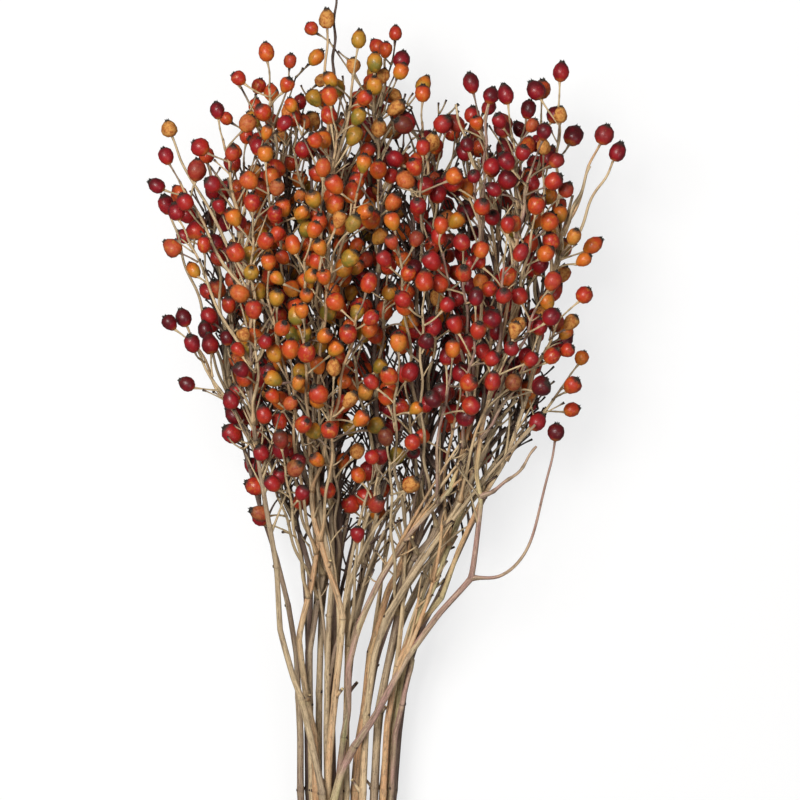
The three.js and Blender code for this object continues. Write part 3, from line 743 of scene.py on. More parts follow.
def smooth_path(points, per_step):
    """Catmull-Rom points through a path, with a value 0..n that says where each lies."""
    points = np.asarray(points, float)
    before = np.vstack([2 * points[0] - points[1], points, 2 * points[-1] - points[-2]])
    steps = np.linspace(0, len(points) - 1, (len(points) - 1) * per_step + 1)
    k = np.minimum(np.floor(steps).astype(int), len(before) - 4)
    t = (steps - k)[:, None]
    p0, p1, p2, p3 = before[k], before[k + 1], before[k + 2], before[k + 3]
    curve = 0.5 * (2 * p1 + (p2 - p0) * t + (2 * p0 - 5 * p1 + 4 * p2 - p3) * t ** 2
                   + (3 * p1 - p0 - 3 * p2 + p3) * t ** 3)
    return curve, steps


def kinked_path(points, per_step):
    """Straight stretches between the points, with each corner slightly rounded."""
    curved, steps = smooth_path(points, per_step)
    straight = between(steps, np.arange(len(points)), np.asarray(points))
    return straight * (1 - KINK_SHARE) + curved * KINK_SHARE, steps


def between(at, marks, places):
    """Places blended between those at the marks."""
    return np.stack([np.interp(at, marks, places[:, i]) for i in range(3)], 1)


def arc(base, bend, end, count):
    """Points of the curve from base to end that is drawn towards bend."""
    t = np.linspace(0, 1, count)[:, None]
    return base * (1 - t) ** 2 + bend * 2 * t * (1 - t) + end * t ** 2


def run_along(points):
    """The distance from the start of a path to each of its points."""
    return np.concatenate([[0], np.cumsum(np.linalg.norm(np.diff(points, axis=0), axis=1))])


def resample(points, spacing, extra=(), path=smooth_path):
    """Even points along a path, plus some at stated distances: places, distances along
    it, and the place in the list of path points that each falls at."""
    fine, steps = path(points, CURVE_STEPS)
    run = run_along(fine)
    where = np.linspace(0, run[-1], max(2, int(round(run[-1] / spacing))) + 1)
    if len(extra):
        extra = extra[(extra > 0) & (extra < run[-1])]
        kept = [w for w in where if np.abs(extra - w).min() > RING_CLEAR]
        where = np.unique(np.concatenate([kept, extra, [0, run[-1]]]))
    return between(where, run, fine), where, np.interp(where, run, steps)


def beside(way):
    """A direction square to another."""
    return unit(np.cross(way, UP if abs(way[2]) < 0.9 else vec(1, 0, 0)))


def frames_along(points):
    """The direction of the path and two steady directions across it at every point."""
    ways = np.gradient(points, axis=0)
    ways /= np.maximum(np.linalg.norm(ways, axis=1), TINY)[:, None]
    side = beside(ways[0])
    sides = []
    for way in ways:
        side = unit(side - way * side.dot(way))
        sides.append(side)
    sides = np.array(sides)
    return ways, sides, np.cross(ways, sides)


def add_tube(piece, points, radii, sides, run=None, **values):
    """A stem along the points; values may hold one number for each ring."""
    template, unit_places = tube_template(sides, len(points))
    ring = np.round(unit_places[:, 2]).astype(int)
    _, across, over = frames_along(points)
    radii = np.broadcast_to(radii, len(points))[ring]
    x, y = unit_places[:, 0] * radii, unit_places[:, 1] * radii
    offset = across[ring] * x[:, None] + over[ring] * y[:, None]
    along = run_along(points) if run is None else run
    per_corner = {key: (value if np.isscalar(value) else np.asarray(value, float)[ring])
                  for key, value in values.items()}
    piece.add(template, points[ring] + offset, skin=np.column_stack([x, y, along[ring]]), **per_corner)


def aimed(places, base, way, turn):
    """Places about +Z turned to point along way and moved to base."""
    way = unit(np.asarray(way, float))
    side = beside(way)
    over = np.cross(way, side)
    c, s = math.cos(turn), math.sin(turn)
    across, over = side * c + over * s, over * c - side * s
    return base + places[:, :1] * across + places[:, 1:2] * over + places[:, 2:3] * way


def wave(angle, rng):
    """A sine with a chance start."""
    return np.sin(angle + rng.uniform(0, 6))


# ------------------------------------------------------------------ wood
# Bark tone of each cane in turn: 0 dark brown, 0.15 mauve grey, 0.3 olive grey, 0.45 straw,
# 0.6 orange tan, 0.75 yellow green, 0.9 pink mauve, 1 green.
# Most canes of the lowest layers are given dark brown tones, painted shade for the depth of the bunch, on
# top of each cane's own colour.
BARK = (0.3, 0.87, 0.52, 0.88, 0.4, 0.62, 0.95, 0.55, 0.33, 0.45, 0.27, 0.72, 0.25, 0.36, 0.16, 0.6,
        0.78, 0.1, 0.4, 0.08, 0.2, 0.12, 0.35, 0.15)
MAUVE_FROM = 0.85
FRONT_LAYER = 4
CANE_SIDES = 12
BRANCH_SIDES = 7
LEADER_SIDES = 6
PEDICEL_SIDES = 6
TWIG_SIDES = 5
STALK_SIDES = 4
TWIG_R = 0.35
SHOOT_R = 0.5
# How far above the floor fine growth ends.
FLOOR_CLEAR = {"stub": 2, "stalk": 3, "shoot": 4, "leader": 2, "hip": 2}
# Distances along a cane: between nodes, of its rings, and of the rings close to a node.
NODE_GAP = 34
NODE_ENDS = (9, 8)
RING_GAP = 4.5
NODE_RINGS = (-3.2, -1.3, -0.5, 0, 0.35, 0.8, 1.5, 3.2)
STUB_SHARE = 0.22
# The cut face: shares of the radius that its rings have, and how far apart they lie.
CUT = np.array([0.3, 0.62, 0.93])
CUT_STEP = 0.02
BUD_PROFILE = [(0, -0.35), (0.55, -0.1), (0.62, 0.45), (0.34, 1.05), (0, 1.5)]
BUD_SIDES = 6

# Fine growth. Left and right edges of the fan that it stays inside, at heights along it,
# and how far inside them hips, shoots and leaders stay.
HIP_EDGE = 4
SHOOT_EDGE = 6
LEADER_EDGE = 13
FAN_Y = (140, 190, 230, 262, 290, 330, 400, 440, 470, 490)
FAN_LEFT = (-34, -40, -48, -54, -66, -74, -84, -82, -54, -24)
FAN_RIGHT = (32, 50, 68, 88, 102, 105, 110, 106, 66, 22)
BUNCH_MIDDLE = 18
# Where the head is thickest: middle and reach.
THICKETS = ((vec(-18, 335, 70), 75), (vec(40, 425, 70), 40), (vec(-28, 276, 85), 42))
THICKET_GAP = 0.7
# Heights where the hips start, where painted shade starts to darken the bark, over what
# length, and where deep shoots stop being painted dark as shade.
HIPS_FROM = 258
HEAD_FROM = 235
HEAD_FADE = 60
HEAD_TOP = 395
# Painted shade: the tone that bark is darkened towards inside the head, and how much of it falls on deep
# and on front canes.
DEEP_TONE = 0.06
DEEP_SHADE = 0.85
FRONT_SHADE = 0.45
# Spurs a truss may have, gaps between shoots in crowded and open growth, and their reach.
SPURS = (0, 1, 1, 2, 2, 3)
SHOOT_GAP = {True: (4, 7.5), False: (13, 24)}
SHOOT_SPAN = (225, 455)
SHOOT_LOW = 30
SHOOT_REACH = (14, 44)
SHOOT_TRIES = 4
STALK_REACH = (5, 13)
LEADERS = 5
LEADER_TRIES = 30
LEADER_FOOT = (140, 255)
LEADER_REACH = (60, 150)
LEADER_LEAN = (7, 26)
LEADER_R = (0.95, 1.5)
LEADER_STEPS = 9
LEADER_STALK_REACH = (7, 15)
LATE_HIP_R = (3.4, 4.5)
LATE_SHARE = {True: 0.85, False: 0.4}


def bell(distance, width):
    return np.exp(-(distance / width) ** 2)


def near_any(run, marks, width, shift=0.0):
    """1 at each mark along a stem, falling away over width."""
    if not len(marks):
        return np.zeros(len(run))
    return np.max([bell(run - mark - shift, width) for mark in marks], axis=0)


def by_node(run, marks, pick):
    """A value picked for every node and both ends of a stem, and blended between them."""
    return np.interp(run, [0, *marks, run[-1]], [pick() for _ in range(len(marks) + 2)])


def is_deep(sprig):
    return sprig["row"]["layer"] < FRONT_LAYER


def bark_tone(sprig):
    return BARK[sprig["owner"]]


def paint_head_shade(sprig, path, tone):
    """Painted shade: bark is darkened where a stem runs up inside the head, most of all deep in it."""
    share = DEEP_SHADE if is_deep(sprig) else FRONT_SHADE
    shade = np.clip((path[:, 1] - HEAD_FROM) / HEAD_FADE, 0, 1) * share
    return tone * (1 - shade) + DEEP_TONE * shade


def add_stem(piece, path, radii, sides, tone, slim, run=None, scar=0.0, band=0.0, pith=0.0):
    """A tube that carries all that the bark finish reads."""
    add_tube(piece, path, radii, sides, run, tone=tone, slim=slim, scar=scar, band=band, pith=pith)


def cut_end(points, radii, run, values):
    """Adds the flat cut face at the start of a stem: rings that close in to the pith."""
    count = len(CUT)
    way = unit(points[1] - points[0])
    points = np.vstack([points[0] - way * (CUT_STEP * k) for k in range(count, 0, -1)] + [points])
    radii = np.concatenate([radii[0] * CUT, radii])
    run = np.concatenate([np.full(count, run[0]), run])
    grown = {key: np.concatenate([np.full(count, v[0]), v]) for key, v in values.items()}
    grown["pith"] = np.concatenate([1 - CUT * 0.9, np.zeros(len(points) - count)])
    return points, radii, run, grown


def cane_nodes(sprig, rng):
    """Distances along a cane of its nodes, which sit where it bends."""
    _, run, index = resample(sprig["points"], 2.0, path=kinked_path)
    marks = []
    for k in range(1, len(sprig["points"]) - 1):
        at = float(np.interp(k, index, run))
        if (NODE_ENDS[0] < at < run[-1] - NODE_ENDS[1]
                and (not marks or at - marks[-1] > NODE_GAP * rng.uniform(0.7, 1.3))):
            marks.append(at)
    return marks


def build_cane(piece, sprig, rng):
    marks = cane_nodes(sprig, rng)
    near = np.concatenate([np.array(marks) + d for d in NODE_RINGS])
    path, run, index = resample(sprig["points"], RING_GAP, np.sort(near), kinked_path)
    radii = np.interp(index, np.arange(len(sprig["radii"])), sprig["radii"])
    uneven = 0.1 * near_any(run, marks, 2.2) + 0.02 * np.sin(run * 0.11 + sprig["owner"])
    radii = radii * (1 + uneven) * 0.985
    tone = bark_tone(sprig)
    # Each node's tone, darkened with painted shade where the cane runs up inside the head.
    shaded_tone = paint_head_shade(sprig, path, by_node(run, marks, lambda: rng.gauss(tone, 0.05)))
    faint = by_node(run, marks, lambda: rng.choice((0.1, 0.3, 0.5, 1)))
    values = {"tone": shaded_tone, "scar": near_any(run, marks, 0.3) * faint * 0.8,
              "band": near_any(run, marks, 0.9, -1.3) * faint}
    whole, thick, length_run, grown = cut_end(path, radii, run, values)
    add_stem(piece, whole, thick, CANE_SIDES, slim=0.0, run=length_run, **grown)
    ways, _, over = frames_along(path)
    for i, mark in enumerate(marks):
        k = int(np.argmin(np.abs(run - mark)))
        side = unit(np.cross(ways[k], UP) * (-1) ** i + over[k] * rng.uniform(-0.9, 0.9)
                    + UP * rng.uniform(0, 0.9))
        side = unit(side - ways[k] * side.dot(ways[k]))
        if rng.random() < STUB_SHARE:
            build_stub(piece, sprig, path[k], ways[k], side, radii[k], rng)
        else:
            build_bud(piece, path[k], ways[k], side, radii[k], rng)


def build_stub(piece, sprig, at, way, side, radius, rng):
    """A side shoot cut off short, with a dry dark end."""
    reach = rng.uniform(3, 8) + radius
    lean = unit(way * rng.uniform(0.5, 1.1) + side)
    thick = min(radius * 0.5, rng.uniform(0.7, 1.0))
    start, end = at + side * (radius * 0.5), at + lean * reach
    if (end[2] < FLOOR_CLEAR["stub"]
            or not placed.clear(start, end, thick, sprig["owner"], False)):
        return
    tone = bark_tone(sprig)
    points = start + (end - start) * np.linspace(0, 1, 5)[:, None]
    add_stem(piece, points, thick * np.array([1.5, 1.1, 1.0, 1.0, 0.9]), BRANCH_SIDES,
             tone=np.array([tone, tone, tone, 0.1, 0.0]), slim=0.3,
             scar=np.array([0.7, 0, 0, 0, 0.2]), pith=np.array([0, 0, 0, 0, 0.3]))


def build_bud(piece, at, way, side, radius, rng):
    """A small pointed bud pressed against the stem above a leaf scar."""
    template, places = turned_template("bud", BUD_PROFILE, BUD_SIDES)
    size = rng.uniform(0.75, 1.15)
    lean = unit(way + side * rng.uniform(0.25, 0.5))
    spots = aimed(places * size, at + side * (radius - 0.15), lean, 0)
    piece.add(template, spots, skin=spots, tone=0.04, scar=0.2, slim=0.0, band=0.0, pith=0.0)


def nearest_run(points, target):
    """How far along a path its nearest place to a target is."""
    fine, run = resample(points, 1.0)[:2]
    return run[int(np.argmin(np.linalg.norm(fine - target, axis=1)))]


def branch_tone(sprig, branch, rng):
    # Painted light and shade: deep branches keep darker tones and front ones are drawn paler, for how
    # deep in the bunch they lie.
    tone = bark_tone(sprig) * 0.4 + rng.uniform(0.15, 0.3)
    if not is_deep(sprig):
        tone = tone * 0.4 + rng.uniform(0.25, 0.4)
    if bark_tone(sprig) > MAUVE_FROM:
        return bark_tone(sprig)
    return branch["row"][4] * 0.5 if branch["row"][3] == 0 else tone


def build_branch(piece, sprig, branch, rng):
    """The stem of a truss with a joint at each pedicel, or a bare twig with even joints."""
    points, radii, bare = branch["points"], branch["radii"], branch["row"][3] == 0
    path, run, index = resample(points, 2.4)
    if bare:
        marks = np.arange(7, run[-1], 9.5)
        sway, swell = 0.55 * np.sin(run * 0.33), 0.32
    else:
        marks = sorted(nearest_run(points, hip[0]) for hip in branch["hips"])
        sway = wave(run * rng.uniform(0.1, 0.22), rng) * np.minimum(run / 12, 1)
        sway *= np.minimum((run[-1] - run) / 12, 1) * rng.uniform(0.5, 1.4)
        swell = 0.22
    thick = np.interp(index, np.arange(len(radii)), radii) * 0.97
    thick *= 1 + 0.9 * np.exp(-np.maximum(run - 1.5, 0) / 1.8) + swell * near_any(run, marks, 1.3)
    path = path + np.cross(frames_along(path)[0], UP) * sway[:, None]
    tone = branch_tone(sprig, branch, rng)
    mauve = bark_tone(sprig) > MAUVE_FROM
    add_stem(piece, path, thick, BRANCH_SIDES, tone + 0.03 * np.sin(run * 0.2),
             slim=0.1 if mauve else 0.45, run=run, scar=0.6 * near_any(run, marks, 0.8))


def build_pedicel(piece, branch, hip, rng):
    """The stalk of one hip: thick at both ends, with a joint part of the way along."""
    base, centre, _, radius = hip
    way = hip_lean(hip)
    foot = centre - way * (radius * HIP_LONG)
    points = branch["points"]
    k = min(len(points) - 2, int(np.argmin([np.linalg.norm(p - base) for p in points])))
    along = unit(points[k + 1] - points[k])
    reach = length(foot - base)
    bow = vec(rng.gauss(0, 1), rng.gauss(0, 1), rng.gauss(0, 1)) * (reach * 0.07)
    bend = (base + foot) / 2 + along * (reach * rng.uniform(0.0, 0.1)) - way * (reach * 0.06) + bow
    radii = PEDICEL_R * np.array([1.6, 1.2, 1.1, 1.05, 1.05, 1.1, 1.3, 1.9])
    joint = rng.choice([2, 3, 4])
    radii[joint] *= 1.22
    scar = np.zeros(len(radii))
    scar[joint] = 0.6
    add_stem(piece, arc(base, bend, foot + way * 0.3, len(radii)), radii, PEDICEL_SIDES,
             tone=rng.uniform(0.14, 0.5), slim=1.0, scar=scar)


def add_twig(piece, base, bend, end, radii, sides, tone):
    """A fine bare stalk through three points, with a small dark knob."""
    knob = np.maximum(0, np.linspace(0, 1, len(radii)) * 3 - 2)
    add_stem(piece, arc(base, bend, end, len(radii)), np.array(radii), sides,
             tone * (1 - knob * 0.8), slim=0.7, scar=knob ** 2)


def in_fan(spot, edge=0):
    left, right = np.interp(spot[1], FAN_Y, FAN_LEFT), np.interp(spot[1], FAN_Y, FAN_RIGHT)
    return left + edge < spot[0] < right - edge and spot[1] < FAN_Y[-1]


def late_hip(sprig, end, way, rng):
    """A small hip on a stalk's end, where there is room for one."""
    radius = rng.uniform(*LATE_HIP_R)
    centre = end + way * (radius * HIP_LONG)
    a, b = hip_ends(centre, way, radius)
    if (not in_fan(centre, HIP_EDGE) or min(a[2], b[2]) < radius + FLOOR_CLEAR["hip"]
            or not placed.clear(a, b, radius, sprig["owner"], True)):
        return []
    placed.add(a, b, radius, sprig["owner"], True)
    row = min(sprig["row"]["trusses"], key=lambda truss: abs(truss[1] - end[1]))
    return [({"row": row}, (end, centre, way, radius))]


def build_stalk(piece, sprig, base, way, reach, share, tone, rng):
    """A fine stalk with a hip on it, or a bare knob where the hip has dropped."""
    start, end = base + way * (reach * 0.3), base + way * reach
    if (not in_fan(end) or end[2] < FLOOR_CLEAR["stalk"]
            or not placed.clear(start, end, TWIG_R, sprig["owner"], False)):
        return []
    hip = late_hip(sprig, end, way, rng) if rng.random() < share else []
    placed.add(start, end, TWIG_R, sprig["owner"], False)
    bend = (base + end) / 2 + vec(rng.gauss(0, 1), rng.gauss(-0.5, 1), rng.gauss(0, 1))
    radii = [0.7, 0.45, 0.42, 0.42, 0.8 if hip else 0.6]
    add_twig(piece, base, bend, end, radii, STALK_SIDES, tone)
    return hip


def shoot_path(sprig, base, along, hand, rng):
    """Start, bend and end of a side shoot where there is room for one, and its way."""
    reach = rng.uniform(*SHOOT_REACH)
    # Deep shoots below the top of the head are painted near black as shade; the others get mid tones.
    dark = is_deep(sprig) and base[1] < HEAD_TOP
    tone = rng.uniform(0, 0.12) if dark else rng.uniform(0.25, 0.45)
    for _ in range(SHOOT_TRIES):
        way = along * rng.uniform(0.9, 1.8)
        way = unit(way + vec(hand * rng.uniform(0.3, 1), 0, rng.gauss(0.1, 0.5)))
        start, end = base + way * 4, base + way * reach
        reach *= 0.8
        if (in_fan(end, SHOOT_EDGE) and end[2] >= FLOOR_CLEAR["shoot"]
                and placed.clear(start, end, SHOOT_R, sprig["owner"], False)):
            placed.add(start, end, SHOOT_R, sprig["owner"], False)
            return (base, (base + end) / 2 + along * rng.uniform(-3, 4), end), way, tone
    return None, None, None


def build_shoots(piece, sprig, rng):
    """Side shoots along the upper cane, painted dark as shade where they lie deep, with up to
    four stalks each. The low ones bear no hips and lean in towards the middle of the bunch."""
    points, late = sprig["points"], []
    at = SHOOT_SPAN[0] + rng.uniform(0, 20)
    while at < min(points[-1][1] - 6, SHOOT_SPAN[1]):
        base, along = along_path(points, at)
        low = at < SHOOT_SPAN[0] + SHOOT_LOW
        thick = any(length(base - middle) < reach for middle, reach in THICKETS)
        crowded = is_deep(sprig) or thick
        at += rng.uniform(*SHOOT_GAP[crowded]) * (THICKET_GAP if thick else 1)
        hand = math.copysign(1, BUNCH_MIDDLE - base[0]) if low else rng.choice((-1, 1))
        path, way, tone = shoot_path(sprig, base, along, hand, rng)
        if not path:
            continue
        _, bend, end = path
        radii = rng.uniform(0.5, 0.75) * np.array([1.7, 1.1, 1, 0.9, 0.8, 0.75, 0.8])
        add_twig(piece, *path, radii, TWIG_SIDES, tone)
        share = 0 if low else LATE_SHARE[crowded]
        for k in range(1 if low else rng.choice((1, 2, 3, 4))):
            fork = end if k < 2 else base * 0.25 + bend * 0.5 + end * 0.25
            lean = unit(way + vec(rng.gauss(0, 0.7), rng.uniform(0, 0.3), rng.gauss(0, 0.7)))
            late += build_stalk(piece, sprig, fork, lean, rng.uniform(*STALK_REACH), share, tone, rng)
    return late


def leader_path(sprig, rng):
    """A trial path for a leader, and the way of the cane where it starts."""
    base, along = along_path(sprig["points"], rng.uniform(*LEADER_FOOT))
    reach = rng.uniform(*LEADER_REACH)
    end = base + along * reach
    end = end + vec(rng.choice((-1, 1)) * rng.uniform(*LEADER_LEAN), 0, rng.gauss(-1, 8))
    bend = base + along * (reach * 0.55) + (end - base) * 0.04
    return arc(base, bend, end, LEADER_STEPS), along


def build_leaders(piece, sprig, rng):
    """Long thin stems that leave the cane where the bunch opens and run up beside it."""
    late, grown = [], 0
    for _ in range(LEADER_TRIES):
        path, along = leader_path(sprig, rng)
        thick = rng.uniform(*LEADER_R)
        taken = [(a, b, thick * 0.85, sprig["owner"], False) for a, b in zip(path[1:], path[2:])]
        free = all(part[0][2] > FLOOR_CLEAR["leader"] and in_fan(part[0], LEADER_EDGE)
                   and placed.clear(*part) for part in taken)
        if not free or grown >= LEADERS:
            continue
        grown += 1
        for part in taken:
            placed.add(*part)
        # Painted shade darkens the leader's bark inside the head.
        tone = paint_head_shade(sprig, path, bark_tone(sprig) * 0.6 + rng.uniform(0, 0.15))
        radii = thick * np.linspace(1, 0.5, LEADER_STEPS)
        radii[0] *= 0.5
        add_stem(piece, path, radii, LEADER_SIDES, tone, slim=0.3)
        for _ in range(rng.choice((3, 4, 5, 6))):
            spot = path[rng.choice((5, 6, 7, 8))]
            lean = unit(along + vec(rng.gauss(0, 0.8), 0, rng.gauss(0, 0.8)))
            share = LATE_SHARE[True] if spot[1] > HIPS_FROM else 0
            reach = rng.uniform(*LEADER_STALK_REACH)
            late += build_stalk(piece, sprig, spot, lean, reach, share, tone[-1], rng)
    return late


def build_spurs(piece, sprig, branch, rng):
    """Bare stalks whose hips have dropped, each with a small dark knob."""
    points = branch["points"]
    last = len(points) - 1
    for _ in range(rng.choice(SPURS) if branch["row"][3] > 1 else 0):
        k = rng.uniform(last - 2, last)
        base = points[int(k)] + (points[min(int(k) + 1, last)] - points[int(k)]) * (k % 1)
        along = unit(points[-1] - points[-2])
        way = unit(along * rng.uniform(0.3, 1.2) + vec(rng.gauss(0, 0.8), 0, rng.gauss(0.3, 0.8)))
        end = base + way * rng.uniform(7, 15)
        if (end[2] < FLOOR_CLEAR["stalk"]
                or not placed.clear(base + way * 2, end, TWIG_R, sprig["owner"], False)):
            continue
        bend = (base + end) / 2 + along * rng.uniform(-2, 2)
        radii = [0.6, 0.42, 0.38, 0.36, 0.38, 0.75]
        add_twig(piece, base, bend, end, radii, TWIG_SIDES, rng.uniform(0.3, 0.5))


# ------------------------------------------------------------------ hips
HIP_PROFILE = [(0, -0.01), (0.54, 0.075), (0.92, 0.3), (1.0, 0.54), (0.88, 0.79), (0.48, 0.95), (0, 0.97)]
HIP_SIDES = 10
DRIED_SHARE = 0.05
# Share of hips that lag behind their truss in ripeness, and by how much.
UNRIPE_SHARE = 0.12
UNRIPE_BY = (0.15, 0.4)
BEAK_FROM = 0.62
BEAK_LENGTH = 0.1


def hip_lean(hip):
    """The way a hip points: out along its stalk, but more along the bunch than up."""
    way = hip[2]
    return unit(vec(way[0], way[1] + 0.25, way[2] * 0.5))


def hip_facts(branch, rng):
    """Ripeness and how far dried, for one hip of a truss."""
    row = branch["row"]
    ripe = min(1.0, max(0.0, rng.gauss(row[4] - 0.06, 0.13)))
    if rng.random() < UNRIPE_SHARE:
        ripe = max(0.0, ripe - rng.uniform(*UNRIPE_BY))
    share = row[5] if len(row) > 5 else DRIED_SHARE
    dry = rng.uniform(0.6, 1.0) if rng.random() < share else abs(rng.gauss(0.0, 0.17))
    return ripe, dry


def hip_form(places, radius, ripe, dry, rng):
    """Corners of one hip about +Z, with its height and how far its beak stands out: round
    or pear shaped, slightly lobed, creased where it has dried."""
    height, angle = places[:, 2], np.arctan2(places[:, 1], places[:, 0])
    taper = rng.uniform(0.82, 1.3)
    lobes = 1 + 0.035 * wave(2 * angle, rng) + 0.02 * wave(3 * angle, rng)
    creases = 0.13 * wave(5 * angle, rng) * np.sin(math.pi * np.clip(height, 0, 1))
    creases = dry * (creases + 0.07 * wave(3 * angle + 5 * height, rng))
    pear = rng.uniform(0.1, 0.5) if ripe < 0.4 else rng.uniform(-0.1, 0.3)
    girth = radius * rng.uniform(0.94, 1.04) * (1 - 0.1 * dry) * (lobes + creases)
    girth *= 1 - pear * np.clip(1 - height, 0, 1) ** 1.5
    beak = max(0.0, rng.uniform(-0.3, 1)) * np.clip(height - BEAK_FROM, 0, 1) / 0.35
    girth *= 1 - 0.22 * beak
    full = 2 * radius * HIP_LONG * rng.uniform(0.86, 1.0)
    rise = (np.sign(height) * np.abs(height) ** taper + BEAK_LENGTH * beak ** 2) * full
    return np.column_stack([places[:, :2] * girth[:, None], rise]), full, max(beak)


def build_hip(piece, calyces, branch, hip, rng):
    _, centre, _, radius = hip
    way = hip_lean(hip)
    ripe, dry = hip_facts(branch, rng)
    template, places = turned_template("hip", HIP_PROFILE, HIP_SIDES)
    form, full, beak = hip_form(places, radius, ripe, dry, rng)
    foot = centre - way * (radius * HIP_LONG)
    lean = unit(way + vec(rng.gauss(0, 0.06), rng.gauss(0, 0.06), 0))
    turn = rng.uniform(0, math.tau)
    seed = rng.random()
    piece.add(template, aimed(form, foot, lean, turn), ripe=ripe, dry=dry, seed=seed,
              axis=np.clip(places[:, 2], 0, 1))
    crown, tips = calyx_template()
    size = radius * rng.uniform(0.85, 1.25)
    top = foot + lean * (full * (0.96 + BEAK_LENGTH * beak ** 2))
    calyces.add(crown, aimed(tips * size, top, lean, turn), seed=seed)


# ------------------------------------------------------------------ twine
PLIES = 3
PLY_SIDES = 6
PLY_TWIST = 0.95
PLY_R = TWINE_R * 0.56
PLY_OFF = TWINE_R * 0.5
KNOT_LIFT = TWINE_R * 2.6
KNOT_LOOP = TWINE_R * 1.7
FIBRE_GAP = 2.2
FIBRE_SIDES = 3
FIBRE_R = np.array([0.06, 0.05, 0.03])


def tie_point(y, angle, offset):
    """The point one offset outside the canes that lies furthest in a direction."""
    way = vec(math.cos(angle), 0, math.sin(angle))
    canes = [(along_path(sprig["points"], y)[0], sprig["radii"][0]) for sprig in sprigs]
    middle, radius = max(canes, key=lambda cane: dot(cane[0], way) + cane[1])
    point = middle + way * (radius + offset)
    point[1] = y
    return point


def twine_tail(end, knot, side):
    """From the last turn up through the knot and out to a loose end."""
    return [end, end + (knot - end) * 0.6 + vec(-side * TWINE_R, 0, TWINE_R * 0.9),
            knot + vec(side * TWINE_R, side * TWINE_R, 0),
            knot + vec(side * TAIL[0] * 0.5, side * TAIL[1] * 0.3, TWINE_R * 0.8),
            knot + vec(side * TAIL[0], side * TAIL[1], -TWINE_R)]


def twine_paths():
    pitch = TWINE_R * 2 + TWINE_GAP
    points = []
    for i in range(TIE_TURNS * TIE_STEPS + 1):
        turns = i / TIE_STEPS
        y = TIE_Y + (turns - TIE_TURNS / 2) * pitch
        points.append(tie_point(y, math.pi * (0.5 + 2 * turns), TWINE_R + TWINE_GAP))
    first, last = points[0], points[-1]
    knot = (first + last) / 2 + vec(0, 0, KNOT_LIFT)
    loop = [knot + vec(0, math.cos(a), math.sin(a)) * KNOT_LOOP
            for a in np.linspace(0, math.tau * 0.98, 12)]
    return [points, twine_tail(first, knot, 1), twine_tail(last, knot, -1), loop]


def add_fibre(piece, at, way, side, over, rng):
    """A loose fibre that curls away from the twine."""
    out = unit(side * rng.gauss(0, 1) + over * rng.gauss(0, 1) + way * rng.gauss(0, 0.8))
    curl = unit(way * rng.gauss(0, 1) + over * rng.gauss(0, 1))
    reach = rng.uniform(1.2, 2.6)
    points = [at + out * (TWINE_R * 0.8), at + out * (TWINE_R + reach * 0.5) + curl * 0.3,
              at + out * (TWINE_R + reach * 0.8) + curl * reach * 0.5]
    add_tube(piece, np.array(points), FIBRE_R, FIBRE_SIDES, tone=0.8)


def build_twine():
    """Three twisted plies along every stretch, with loose fibres."""
    rng = random.Random(7)
    piece = Piece("jute_twine")
    for path in twine_paths():
        middle, run, _ = resample(path, 0.8)
        ways, sides, over = frames_along(middle)
        for ply in range(PLIES):
            turn = (run * PLY_TWIST + ply * math.tau / PLIES)[:, None]
            places = middle + (sides * np.cos(turn) + over * np.sin(turn)) * PLY_OFF
            add_tube(piece, places, PLY_R, PLY_SIDES, run, tone=rng.uniform(0.3, 0.7))
        for _ in range(int(run[-1] / FIBRE_GAP)):
            k = rng.randrange(1, len(middle) - 1)
            add_fibre(piece, middle[k], ways[k], sides[k], over[k], rng)
    return piece


# ------------------------------------------------------------------ finishes
# Ramp stops: place, red, green, blue.
RIPENESS = [(0.0, 124, 112, 40), (0.14, 186, 132, 42), (0.26, 206, 112, 34), (0.4, 200, 82, 30),
            (0.56, 184, 54, 28), (0.74, 164, 30, 30), (0.9, 134, 20, 32), (1.0, 88, 14, 22)]
WITHERED = [(0.3, 96, 46, 22), (0.5, 172, 98, 42), (0.68, 206, 146, 74)]
CALYX_GREYS = [(0.3, 24, 20, 18), (0.55, 52, 46, 40), (0.75, 104, 94, 80)]
BARK_TONES = [(0.0, 46, 36, 31), (0.14, 128, 104, 94), (0.3, 176, 154, 126), (0.45, 218, 192, 152),
              (0.6, 212, 162, 118), (0.75, 202, 188, 138), (0.88, 180, 140, 130), (1.0, 136, 134, 90)]
CUT_WOOD = [(0.0, 104, 84, 60), (0.2, 120, 96, 66), (0.26, 222, 200, 152), (0.58, 214, 188, 134),
            (0.68, 168, 132, 92), (0.9, 196, 170, 132)]
JUTE = [(0.25, 112, 84, 50), (0.5, 176, 142, 92), (0.75, 214, 186, 136)]


